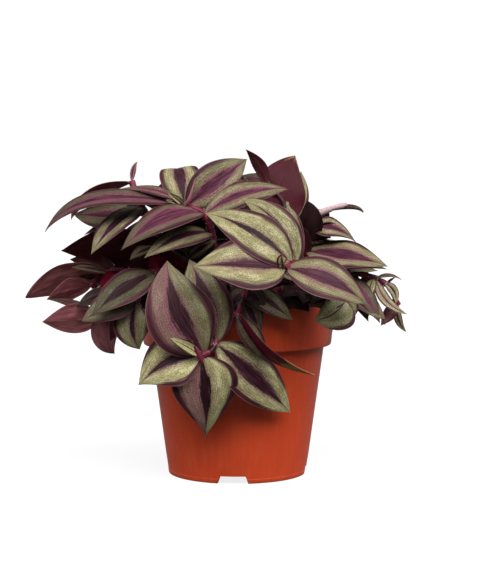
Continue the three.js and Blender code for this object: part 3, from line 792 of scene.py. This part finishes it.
def blade_faces():
    """The faces of any blade: its upper side, its under side and the edges that join them."""
    count = BLADE_SIDES + 1
    steps = BLADE_STEPS + 1
    each = steps * count
    faces = sheet_faces(steps, count, flip=True) + sheet_faces(steps, count, first=each)
    for i in range(steps - 1):
        a = i * count
        b = a + count
        faces.append([a, a + each, b + each, b])
        a += count - 1
        b += count - 1
        faces.append([a, b, b + each, a + each])
    last = (steps - 1) * count
    for j in range(count - 1):
        faces.append([j, j + 1, j + 1 + each, j + each])
        faces.append([last + j, last + j + each, last + j + 1 + each, last + j + 1])
    return faces


BLADE_FACES = blade_faces()


def blade(shape, leaf, number):
    """One leaf: two faces close together, swept along the arched midrib, with waved edges."""
    arch, peak, sway, cup, twist, fall, curl = leaf.form + PLAIN_FORM[len(leaf.form):]
    draw = draw_from(BLADE_SEED * number + BLADE_SEED_START)
    even = np.linspace(0, 1, BLADE_STEPS + 1)
    t = FINE_ENDS * (1 - np.cos(math.pi * even)) / 2 + (1 - FINE_ENDS) * even
    column = t[:, None]
    middle, side, normal, length = midrib(leaf, column, arch, peak, sway, twist)

    wide = leaf.width / 2
    half = np.maximum(wide * outline(t, fall), BLADE_ROOT * smooth(0.5, 0, t))
    half = np.maximum(half, BLADE_TIP)[:, None]
    u = np.linspace(-1, 1, BLADE_SIDES + 1)
    u = np.sign(u) * np.abs(u) ** BLADE_SIDES_EVEN
    reach, height = section(half, u, cup, curl)
    waves = WAVE_COUNT + draw(WAVE_SPREAD)
    for hand in (-1, 1):
        phase = draw(1)
        swell = BLADE_WAVE * (WAVE_LEAST + draw(WAVE_SPREAD)) * np.sin(2 * math.pi * (waves * column + phase))
        edge = np.clip(u * hand, 0, 1) ** 2
        height = height + half * swell * edge * np.sin(math.pi * column)
    pleat = PLEAT_DEPTH * np.cos(2 * math.pi * u * wide / PLEAT_PITCH) * smooth(0, PLEAT_FULL_WIDTH, half)
    height = height + pleat * smooth(*PLEAT_FADE, np.abs(u))
    surface = middle[:, None] + side[:, None] * reach[:, :, None] + normal[:, None] * height[:, :, None]
    thick = BLADE_EDGE + (BLADE_THICKNESS - BLADE_EDGE) * (1 - np.abs(u) ** 3)
    share, least = TIP_THICKNESS
    thick = np.minimum(thick[None, :], half * share + least)
    offset = normal[:, None] * thick[:, :, None] / 2

    crosswise = np.tile(u, len(t))
    lengthwise = np.repeat(t, len(u))
    ones = np.ones(len(crosswise))
    upper = np.column_stack([crosswise, lengthwise, ones])
    under = np.column_stack([crosswise, lengthwise, -ones])
    paleness_light_and_shade, rosy, lens, glow, lean, dry = leaf.look + PLAIN_LOOK[len(leaf.look):]
    paleness_light_and_shade = paleness_light_and_shade + draw(PALENESS_LIGHT_AND_SHADE_SPREAD)
    rosy = rosy + draw(ROSY_SPREAD)
    shape.add(
        np.concatenate([(surface + offset).reshape(-1, 3), (surface - offset).reshape(-1, 3)]),
        BLADE_FACES,
        place=np.concatenate([upper, under]),
        look=(paleness_light_and_shade, rosy, glow),
        span=(wide, length, number * PATTERNS_APART),
        wear=(dry, lean, lens * (1 + draw(LENS_SPREAD))),
    )


# Materials

class Number:
    """A number that nodes work out at each point, with the usual signs for sums and products."""

    def __init__(self, nodes, socket):
        self.nodes = nodes
        self.socket = socket

    def __add__(self, other):
        return self.nodes.math("ADD", self, other)

    def __sub__(self, other):
        return self.nodes.math("SUBTRACT", self, other)

    def __rsub__(self, other):
        return self.nodes.math("SUBTRACT", other, self)

    def __mul__(self, other):
        return self.nodes.math("MULTIPLY", self, other)


class Nodes:
    """A node tree, with short ways to join its nodes."""

    def __init__(self, tree):
        self.tree = tree

    def put(self, socket, value):
        if isinstance(value, Number):
            value = value.socket
        if isinstance(value, bpy.types.NodeSocket):
            self.tree.links.new(value, socket)
        elif value is not None:
            socket.default_value = value

    def node(self, kind, **settings):
        node = self.tree.nodes.new(kind)
        for key, value in settings.items():
            setattr(node, key, value)
        return node

    def here(self, kind="Object"):
        return self.node("ShaderNodeTexCoord").outputs[kind]

    def parts(self, vector):
        """The three numbers of a vector."""
        node = self.node("ShaderNodeSeparateXYZ")
        self.put(node.inputs[0], vector)
        return [Number(self, socket) for socket in node.outputs]

    def value(self, name):
        """The three numbers of a point's value."""
        return self.parts(self.node("ShaderNodeAttribute", attribute_name=name).outputs["Vector"])

    def math(self, operation, first, second=None):
        node = self.node("ShaderNodeMath", operation=operation)
        self.put(node.inputs[0], first)
        self.put(node.inputs[1], second)
        return Number(self, node.outputs[0])

    def step(self, low, high, number, before=0, after=1):
        """Goes smoothly from before at low to after at high."""
        node = self.node("ShaderNodeMapRange", interpolation_type="SMOOTHSTEP")
        for socket, value in zip(node.inputs, (number, low, high, before, after)):
            self.put(socket, value)
        return Number(self, node.outputs[0])

    def mix(self, share, first, second, blend="MIX"):
        node = self.node("ShaderNodeMix", data_type="RGBA", blend_type=blend)
        self.put(node.inputs["Factor"], share)
        self.put(node.inputs[6], first)
        self.put(node.inputs[7], second)
        return node.outputs[2]

    def dimmed(self, colour, share):
        return self.mix(1.0, colour, self.vector(share, share, share), "MULTIPLY")

    def vector(self, *numbers):
        node = self.node("ShaderNodeCombineXYZ")
        for socket, number in zip(node.inputs, numbers):
            self.put(socket, number)
        return node.outputs[0]

    def noise(self, place, scale, detail=2, roughness=0.5):
        node = self.node("ShaderNodeTexNoise")
        self.put(node.inputs["Vector"], place)
        self.put(node.inputs["Scale"], scale)
        self.put(node.inputs["Detail"], detail)
        self.put(node.inputs["Roughness"], roughness)
        return Number(self, node.outputs[0])

    def bump(self, height, distance):
        node = self.node("ShaderNodeBump")
        self.put(node.inputs["Height"], height)
        self.put(node.inputs["Distance"], distance)
        self.put(node.inputs["Strength"], 1.0)
        return node.outputs[0]


class Surface(Nodes):
    """A material's node tree, with its shader."""

    def __init__(self, name):
        self.material = bpy.data.materials.new(name)
        self.material.use_nodes = True
        super().__init__(self.material.node_tree)
        self.shader = self.tree.nodes["Principled BSDF"]

    def glow(self, colour, strength):
        self.put(self.shader.inputs["Emission Color"], colour)
        self.shader.inputs["Emission Strength"].default_value = strength

    def finish(self, colour, roughness, normal=None, specular=0.5):
        self.put(self.shader.inputs["Base Color"], colour)
        self.put(self.shader.inputs["Roughness"], roughness)
        self.put(self.shader.inputs["Specular IOR Level"], specular)
        self.put(self.shader.inputs["Normal"], normal)
        return self.material


def rgb(red, green, blue):
    """A colour given as it is seen, from 0 to 255, as the shader's light values."""
    shares = [part / 255 for part in (red, green, blue)]
    return tuple(
        share / 12.92 if share <= 0.04045 else ((share + 0.055) / 1.055) ** 2.4 for share in shares
    ) + (1,)


# The colours of the leaves, most from their darker parts to their paler ones.
SILVER = rgb(122, 118, 80), rgb(152, 147, 111)
FLUSH = rgb(116, 60, 80)
DARK_LENS = rgb(18, 7, 10), rgb(50, 22, 30)
FLUSHED_LENS = rgb(58, 20, 38), rgb(112, 56, 78)
MARGIN = rgb(38, 12, 21), rgb(74, 29, 42)
VEIN_AND_CREASE_SHADE = rgb(48, 34, 32)
MIDRIB_SHADE = rgb(52, 22, 38)
EDGE_HIGHLIGHT = rgb(146, 110, 104)
UNDERSIDE = rgb(94, 48, 53), rgb(134, 82, 85)
UNDER_VEIN = rgb(58, 24, 30)
PAINTED_GLOW_CRIMSON = rgb(104, 8, 36)
HUSK = rgb(96, 66, 44), rgb(186, 150, 104)

# The colours of the stems, the pot, the soil and the studio.
STEM_BARE = rgb(48, 12, 18), rgb(50, 34, 24)
STEM_SLEEVE = rgb(82, 13, 34), rgb(112, 30, 54)
PALE_SHOOT = rgb(214, 190, 190)
TERRACOTTA = rgb(172, 58, 28), rgb(180, 62, 31)
POT_STREAK = rgb(205, 104, 70)
POT_RING = rgb(200, 100, 66)
PEAT = rgb(30, 20, 15), rgb(84, 60, 44)
FLOOR_GREY = rgb(104, 104, 104), rgb(110, 110, 110)
WHITE = (1, 1, 1, 1)
NEAR_WHITE = (0.99, 0.99, 0.99, 1)
BLACK = (0, 0, 0, 1)

# The leaf's patterns: how much shorter each is along the leaf, its scale, detail and roughness.
STREAKS = (0.08, 1.3, 4, 0.65)
BLOTCHES = (0.35, 0.28, 2, 0.5)
GRAIN = (0.85, 1.7, 2, 0.75)

# The other patterns: scale, detail and roughness.
LEAF_SPARKLE = (2600, 1)
STEM_SPOTS = (260, 3)
STEM_FINE = (1400,)
POT_CLOUD = (26, 3)
POT_RINGS = (1400, 3, 0.7)
POT_STREAKS = (380, 3, 0.6)
POT_GLOSS = (150, 4)
POT_GRAIN = (1900,)
SOIL_CLODS = (420, 5, 0.7)

# How deep each relief is, in metres.
LEAF_RELIEF = 0.0002
STEM_RELIEF = 0.00012
POT_RELIEF = 0.00006
SOIL_RELIEF = 0.0006

# Where the lens closes along the leaf, where the margin starts across it, how soft both are, and how
# close together the veins lie, in turns of the sine to the millimetre.
LENS_END = 0.88
MARGIN_START = 0.76
MARGIN_SOFT = 0.1
VEINS = 4.4

# How far each tint covers what lies under it, where it is strongest.
FLUSH_SHARE = 0.8
FLUSHED_LENS_SHARE = 0.75
VEIN_AND_CREASE_SHADE_SHARE = 0.45
MIDRIB_SHADE_SHARE = 0.55
EDGE_HIGHLIGHT_SHARE = 0.32
UNDER_VEIN_SHARE = 0.35
STREAK_SHARE = 0.14
RING_SHARE = 0.08


def leaf_material():
    s = Surface("leaf")
    across, along, face = s.value("place")
    paleness_light_and_shade, rosy, glow = s.value("look")
    wide, length, number = s.value("span")
    dry, lean, lens_width = s.value("wear")
    off = s.math("ABSOLUTE", across)
    crosswise = across * wide
    lengthwise = along * length

    def pattern(stretch, *kind):
        return s.noise(s.vector(crosswise, lengthwise * stretch, number), *kind)

    streaks = pattern(*STREAKS)
    blotches = pattern(*BLOTCHES)
    grain = pattern(*GRAIN)
    sparkle = s.noise(s.here(), *LEAF_SPARKLE)
    ragged = (streaks - 0.5) * 0.34 + (grain - 0.5) * 0.12
    edge = off + ragged

    # The dark lens along the middle, closed before the tip, and the purple margin.
    share = s.math("DIVIDE", along, LENS_END)
    lens = s.math("MAXIMUM", share * (1 - share) * 4, 0) * lens_width
    stripe = s.step(lens + 0.07, lens - 0.05, edge)
    middle = s.step(0.6, 0.98, along) * 0.3 + MARGIN_START
    margin = s.step(middle - MARGIN_SOFT, middle + MARGIN_SOFT, edge)

    # The silver bands, of pale cells over green, rosy next to the dark lens and on one side.
    silver = s.mix(s.step(0.35, 0.7, blotches), *SILVER)
    # The paleness scales the silver bands; raised above one it is painted light.
    silver = s.dimmed(silver, s.math("MAXIMUM", paleness_light_and_shade * 0.8 + 0.25, 0.1))
    flush = s.step(-0.1, 0.1, across * lean) * s.math("ABSOLUTE", lean)
    inner = s.step(lens + 0.26, lens + 0.02, off)
    tint = rosy * (s.step(0.45, 0.75, streaks) + inner) + flush
    silver = s.mix(s.math("MINIMUM", tint, 1) * FLUSH_SHARE, silver, FLUSH)
    silver = s.dimmed(silver, s.step(0.3, 0.74, grain) * 0.9 + 0.52)

    # The whole upper face, with vein lines partly of painted crease shade, painted midrib shade and a painted
    # edge highlight.
    dark = s.mix(s.step(0.3, 0.75, streaks), *DARK_LENS)
    flushed = s.mix(s.step(0.35, 0.68, streaks), *FLUSHED_LENS)
    dark = s.mix(s.step(0.35, 1, rosy) * FLUSHED_LENS_SHARE, dark, flushed)
    purple = s.mix(s.step(0.35, 0.68, streaks), *MARGIN)
    upper = s.mix(margin, s.mix(stripe, silver, dark), purple)
    # Painted shade: a paleness below nought darkens the whole upper face.
    upper = s.dimmed(upper, s.step(-0.4, 0.25, paleness_light_and_shade) * 0.7 + 0.3)
    upper = s.dimmed(upper, grain * 0.44 + 0.78)
    # Dark lines along the veins: partly the veins' own colour, partly painted shade in the creases between
    # the pleats.
    vein = s.step(0.6, 1.0, s.math("SINE", crosswise * VEINS))
    upper = s.mix(vein * s.step(0.35, 0.6, streaks) * VEIN_AND_CREASE_SHADE_SHARE, upper, VEIN_AND_CREASE_SHADE)
    # Painted shade: a dark tint along the midrib's groove.
    rib = s.step(0.35, 0.1, off * wide)
    upper = s.mix(rib * MIDRIB_SHADE_SHARE, upper, MIDRIB_SHADE)
    # A painted highlight: a pale line along the blade's edges.
    upper = s.mix(s.step(0.95, 0.99, off) * EDGE_HIGHLIGHT_SHARE, upper, EDGE_HIGHLIGHT)

    # The under side, and the dry part from the tip, which both faces share.
    maroon = s.mix(s.step(0.3, 0.75, blotches), *UNDERSIDE)
    maroon = s.mix(vein * UNDER_VEIN_SHARE, maroon, UNDER_VEIN)
    # The paleness scales the under side too: painted light above one, painted shade below nought.
    maroon = s.dimmed(maroon, s.math("MAXIMUM", paleness_light_and_shade * 1.2 + 0.05, 0.04))
    # Painted light: the crimson of light shining through the leaf, mixed into the under side's colour.
    maroon = s.mix(glow, maroon, PAINTED_GLOW_CRIMSON)
    colour = s.mix(s.step(-0.2, 0.2, face), maroon, upper)
    shrivel = along + (blotches - 0.5) * 0.25
    withered = s.step(1.02 - dry, 1.1 - dry, shrivel) * s.step(0, 0.05, dry)
    colour = s.mix(withered, colour, s.mix(streaks, *HUSK))

    relief = vein * -0.6 + sparkle * 0.5 + rib * -1.2
    return s.finish(colour, grain * 0.25 + 0.33, s.bump(relief, LEAF_RELIEF), 0.12)


def stem_material():
    """The stems, from bare through sleeve to pale as the kind grows."""
    s = Surface("stem")
    kind = s.value("kind")[0]
    spot = s.noise(s.here(), *STEM_SPOTS)
    fine = s.noise(s.here(), *STEM_FINE)
    bare = s.mix(s.step(0.35, 0.65, spot), *STEM_BARE)
    sleeve = s.mix(s.step(0.3, 0.7, spot), *STEM_SLEEVE)
    colour = s.mix(s.step(0.3, 0.7, kind), bare, sleeve)
    colour = s.mix(s.step(1.3, 1.7, kind), colour, PALE_SHOOT)
    colour = s.dimmed(colour, fine * 0.4 + 0.8)
    return s.finish(colour, 0.42, s.bump(fine, STEM_RELIEF), 0.22)


def pot_material():
    """Moulded plastic, slightly clouded, with faint rings and upright streaks."""
    s = Surface("pot_plastic")
    place = s.here()
    cloud = s.noise(place, *POT_CLOUD)
    x, y, z = s.parts(place)
    rings = s.noise(s.vector(0, 0, z), *POT_RINGS)
    drawn = s.noise(s.vector(x, y, z * 0.04), *POT_STREAKS)
    colour = s.mix(s.step(0.3, 0.7, cloud), *TERRACOTTA)
    colour = s.mix(s.step(0.45, 0.75, drawn) * STREAK_SHARE, colour, POT_STREAK)
    colour = s.mix(s.step(0.5, 0.8, rings) * RING_SHARE, colour, POT_RING)
    roughness = s.noise(place, *POT_GLOSS) * 0.2 + 0.3
    relief = rings * 0.6 + s.noise(place, *POT_GRAIN) * 0.4
    return s.finish(colour, roughness, s.bump(relief, POT_RELIEF), 0.2)


def soil_material():
    s = Surface("peat")
    clod = s.noise(s.here(), *SOIL_CLODS)
    colour = s.mix(s.step(0.35, 0.7, clod), *PEAT)
    return s.finish(colour, 0.95, s.bump(clod, SOIL_RELIEF), 0.2)


def floor_material():
    s = Surface("studio_floor")
    s.glow(WHITE, FLOOR_GLOW)
    return s.finish(s.mix(s.noise(s.here(), 3), *FLOOR_GREY), 0.8, None, 0.1)


def backdrop_material():
    s = Surface("studio_backdrop")
    s.glow(s.mix(s.noise(s.here(), 0.5), WHITE, NEAR_WHITE), BACKDROP_GLOW)
    return s.finish(BLACK, 1.0, None, 0.0)


# Pot

def body_radius(height):
    """The radius of the tapered body's outside at a height."""
    return FOOT_RADIUS + (SHOULDER_RADIUS - FOOT_RADIUS) * height / SHOULDER_HEIGHT


def rounded(corners, steps=5):
    """A line whose corners, each (radius, height, rounding), are arcs."""
    line = []
    flat = [Vector(corner[:2]) for corner in corners]
    for k, (_, _, rounding) in enumerate(corners):
        here = flat[k]
        before = flat[k - 1] if k else here
        after = flat[k + 1] if k + 1 < len(flat) else here
        if not rounding:
            line.append(tuple(here))
            continue
        reach = min(rounding, (before - here).length / 2, (after - here).length / 2)
        start = here + (before - here).normalized() * reach
        end = here + (after - here).normalized() * reach
        for share in np.linspace(0, 1, steps):
            point = start * (1 - share) ** 2 + here * 2 * share * (1 - share) + end * share ** 2
            line.append(tuple(point))
    return line


def notch_lift(bearing):
    """How far the foot's edge is raised at a bearing, by the notches."""
    pitch = 360 / NOTCH_COUNT
    from_middle = abs((bearing - NOTCH_ANGLE + pitch / 2) % pitch - pitch / 2)
    span = math.radians(from_middle) * FOOT_RADIUS
    slope = 2 * NOTCH_HEIGHT / (NOTCH_MOUTH - NOTCH_TOP)
    low = max(0.0, slope * (NOTCH_MOUTH / 2 - span))
    share = max(0.0, min(1.0, 0.5 + (NOTCH_HEIGHT - low) / (2 * NOTCH_ROUND)))
    return NOTCH_HEIGHT * (1 - share) + low * share - NOTCH_ROUND / 2 * share * (1 - share)


def pot_bearings():
    """Bearings round the pot, close together at the sides of the notches."""
    pitch = 360 / NOTCH_COUNT
    ends = (0, NOTCH_CLEAR, NOTCH_PASSED, pitch / 2 + 0.1)
    steps = np.concatenate([np.arange(*stretch) for stretch in zip(ends, ends[1:], BEARING_STEPS)])
    quarter = sorted({round(hand * float(step), 3) for step in steps for hand in (-1, 1)})
    quarter = [step for step in quarter if -pitch / 2 < step <= pitch / 2]
    return [NOTCH_ANGLE + pitch * k + step for k in range(NOTCH_COUNT) for step in quarter]


def pot():
    floor_top = FLOOR_HEIGHT + FLOOR_THICKNESS
    inner_foot = FOOT_RADIUS - FOOT_WIDTH
    corners = [
        (MIDDLE_FOOT, 0, 0.6),
        (MIDDLE_FOOT + MIDDLE_SLOPE, FLOOR_HEIGHT, EDGE_ROUND),
        (inner_foot - 0.4, FLOOR_HEIGHT + 0.15, EDGE_ROUND),
        (inner_foot, 0, 0.5),
        (FOOT_RADIUS + 0.1, 0, EDGE_ROUND),
        (body_radius(BEAD_HEIGHT) + BEAD_DEPTH, BEAD_HEIGHT, 0.3),
        (body_radius(BEAD_TOP), BEAD_TOP, 0.3),
        (SHOULDER_RADIUS, SHOULDER_HEIGHT, 0.5),
        (COLLAR_RADIUS, SHOULDER_HEIGHT, 1.1),
        (RIM_RADIUS, RIM_HEIGHT, 0.7),
        (RIM_RADIUS - WALL, RIM_HEIGHT, 0.6),
        (COLLAR_RADIUS - WALL, SHOULDER_HEIGHT + WALL, 1.1),
        (SHOULDER_RADIUS - WALL, SHOULDER_HEIGHT + WALL, EDGE_ROUND),
        (body_radius(floor_top) - WALL, floor_top, INSIDE_ROUND),
        (MIDDLE_FOOT + MIDDLE_SLOPE - WALL, floor_top, EDGE_ROUND),
        (MIDDLE_FOOT - WALL, FLOOR_THICKNESS, EDGE_ROUND),
    ]
    line = subdivided([(0.01, 0)] + rounded(corners) + [(0.01, FLOOR_THICKNESS)], LONGEST_STRETCH)
    bearings = pot_bearings()
    points = []
    for radius, height in line:
        for bearing in bearings:
            lifted = height
            if radius > inner_foot - 1 and height < FLOOR_HEIGHT:
                lifted = max(height, notch_lift(bearing))
            points.append(polar(radius, bearing, lifted))
    shape = Shape()
    shape.add(points, ring_faces(len(line), len(bearings), flip=True))
    shape.piece("pot_shell", pot_material(), "pot", ["pot"], sharp=40)


def subdivided(line, longest):
    """The line with points added so that no stretch is longer than longest."""
    dense = [line[0]]
    for start, end in zip(line, line[1:]):
        count = max(1, math.ceil(math.dist(start, end) / longest))
        dense += [tuple(Vector(start).lerp(Vector(end), k / count)) for k in range(1, count + 1)]
    return dense


# Soil

def soil_top(x, y):
    """The height of the lumpy soil at a place."""
    reach = math.hypot(x, y)
    mound = SOIL_HEIGHT - SOIL_SUNK + SOIL_MOUND * (1 - reach / SOIL_RADIUS)
    return mound + LUMP_HEIGHT * noise.fractal(Vector((x, y, 0)) * LUMP_SCALE, *LUMP_DETAIL)


def soil():
    inner = SOIL_RADIUS - WALL - CLEARANCE
    shape = Shape()
    points = []
    for reach in np.linspace(SOIL_CENTRE, inner, SOIL_RINGS):
        for k in range(SOIL_SIDES):
            angle = 2 * math.pi * k / SOIL_SIDES
            x, y = reach * math.cos(angle), reach * math.sin(angle)
            points.append((x, y, soil_top(x, y)))
    floor_top = FLOOR_HEIGHT + FLOOR_THICKNESS + CLEARANCE
    gap = WALL + CLEARANCE
    wall_line = [
        (COLLAR_RADIUS - gap, SHOULDER_HEIGHT + gap + EDGE_ROUND),
        (SHOULDER_RADIUS - gap, SHOULDER_HEIGHT + WALL),
        (body_radius(floor_top) - gap, floor_top),
        (SOIL_CENTRE, floor_top),
    ]
    for reach, height in wall_line:
        for k in range(SOIL_SIDES):
            points.append(polar(reach, 360 * k / SOIL_SIDES, height))
    shape.add(points, ring_faces(SOIL_RINGS + len(wall_line), SOIL_SIDES, flip=True))
    material = soil_material()
    shape.piece("soil_bed", material, "soil", ["soil"], sharp=80)

    crumbs = Shape()
    draw = draw_from(CRUMB_SEED)
    for k in range(CRUMB_COUNT):
        reach = (inner - CRUMB_ROOM) * math.sqrt((draw(1) + 1) / 2)
        angle = draw(math.pi)
        size = CRUMB_SIZE + draw(CRUMB_SPREAD)
        x, y = reach * math.cos(angle), reach * math.sin(angle)
        crumb(crumbs, Vector((x, y, soil_top(x, y) + size * CRUMB_OUT)), size, draw)
    crumbs.piece("soil_crumbs", material, "soil", sharp=80)


def crumb(shape, middle, size, draw):
    """A small irregular lump with ten corners round it and one at each pole."""
    points = [middle + Vector((draw(CRUMB_LEAN), draw(CRUMB_LEAN), 1)) * size * CRUMB_POLE]
    turn = 360 / CRUMB_SIDES
    for ring, height in CRUMB_RINGS:
        for k in range(CRUMB_SIDES):
            reach = ring * (1 + draw(CRUMB_ROUGH))
            bearing = turn * k + draw(turn / 4)
            points.append(middle + polar(reach, bearing, height + draw(CRUMB_RISE)) * size)
    points.append(middle - Vector((draw(CRUMB_LEAN), draw(CRUMB_LEAN), 1)) * size * CRUMB_POLE)
    faces = []
    for k in range(CRUMB_SIDES):
        a = 1 + k
        b = 1 + (k + 1) % CRUMB_SIDES
        low_a = a + CRUMB_SIDES
        low_b = b + CRUMB_SIDES
        faces += [[0, a, b], [a, low_a, low_b, b], [low_a, 1 + 2 * CRUMB_SIDES, low_b]]
    shape.add(points, faces)


# Plant

def plant():
    stems = [drawn_stem(name) for name in PATHS] + [ruled_stem(row) for row in RULED_STEMS]
    grown = {}
    number = 0
    for name, curve, leaves in stems:
        blades, stalks = grown.setdefault(GROWN_TOGETHER.get(name, name), (Shape(), Shape()))
        leaves += inner_leaves(name, curve, leaves)
        stalk(stalks, curve, leaves)
        for leaf in leaves:
            number += 1
            blade(blades, leaf, number)
    for owner, points, radii, kind in SHOOTS:
        path = StemCurve([seen(point) for point in points])
        places = np.linspace(0, 1, SHOOT_RINGS)
        width = np.interp(places, np.linspace(0, 1, len(radii)), radii)
        tube(grown[owner][1], path.at(places), width, STEM_SIDES, kind)
    leaf_skin = leaf_material()
    stem_skin = stem_material()
    for name, (blades, stalks) in grown.items():
        blades.piece(f"leaves_{name}", leaf_skin, "foliage", [f"stem_{name}"])
        stalks.piece(f"stalks_{name}", stem_skin, "foliage", [f"stem_{name}"])


# Studio

FLOOR_SIZE = 20
BACKDROP_REACH = 9
BACKDROP_GLOW = 1.02
FLOOR_GLOW = 0.82
KEY_BEARINGS = (-72, -36, 0, 36, 72)
KEY_HEIGHT = 47
KEY_SPREAD = 34
KEY_POWER = 1.58
KEY_LEAN = 0.12 / 36
FILL_POWER = 0.1
FILL_SPREAD = 70
FILL_HEIGHT = 8
FRONT_LIGHT = 0.1
BACK_LIGHT = 0.7
ZENITH_LIGHT = 0.2
BOUNCE_LIGHT = 0.16

# The parts of a direction between which the sky's light fades: to the back, up, and at the horizon.
TO_BACK = (-0.2, 0.5)
TO_ZENITH = (0.2, 0.6)
TO_LEVEL = (-0.3, 0)


def backdrop(name, material):
    """Makes the newest piece part of the studio, white to the camera but casting no light on the plant."""
    piece = bpy.context.object
    piece.name = name
    piece.data.materials.append(material)
    piece.visible_diffuse = False
    piece.visible_glossy = False
    piece.visible_shadow = False


def lamp(name, bearing, height, spread, power):
    """A soft distant light, from a bearing to the right of the front and an angle above level."""
    made = bpy.data.lights.new(name, "SUN")
    made.energy = power
    made.angle = math.radians(spread)
    light = bpy.data.objects.new(name, made)
    level = polar(math.cos(math.radians(height)), bearing - 90, math.sin(math.radians(height)))
    light.rotation_euler = (-level).to_track_quat("-Z", "Y").to_euler()
    bpy.context.scene.collection.objects.link(light)


def studio():
    bpy.ops.mesh.primitive_plane_add(size=FLOOR_SIZE)
    backdrop("floor", floor_material())
    bpy.ops.mesh.primitive_uv_sphere_add(radius=BACKDROP_REACH, segments=48, ring_count=24)
    backdrop("backdrop", backdrop_material())

    world = bpy.data.worlds.new("studio")
    world.use_nodes = True
    sky = Nodes(world.node_tree)
    _, back, up = sky.parts(sky.here("Generated"))
    around = sky.step(*TO_BACK, back, FRONT_LIGHT, BACK_LIGHT)
    above = sky.step(*TO_ZENITH, up, around, ZENITH_LIGHT)
    light = sky.step(*TO_LEVEL, up, BOUNCE_LIGHT, above)
    dome = sky.tree.nodes["Background"].inputs
    sky.put(dome["Strength"], light)
    dome["Color"].default_value = WHITE
    bpy.context.scene.world = world

    for k, bearing in enumerate(KEY_BEARINGS):
        lamp(f"key_{k}", bearing, KEY_HEIGHT, KEY_SPREAD, KEY_POWER * (1 + KEY_LEAN * bearing))
    lamp("fill", 0, FILL_HEIGHT, FILL_SPREAD, FILL_POWER)

    view = bpy.data.cameras.new("camera")
    view.lens = LENS
    view.clip_start = NEAREST
    camera = bpy.data.objects.new("camera", view)
    camera.location = SIGHT * METRE
    camera.rotation_euler = (AIM - SIGHT).to_track_quat("-Z", "Y").to_euler()
    bpy.context.scene.collection.objects.link(camera)
    bpy.context.scene.camera = camera
    bpy.context.scene.view_settings.view_transform = "Standard"


studio()
pot()
soil()
plant()
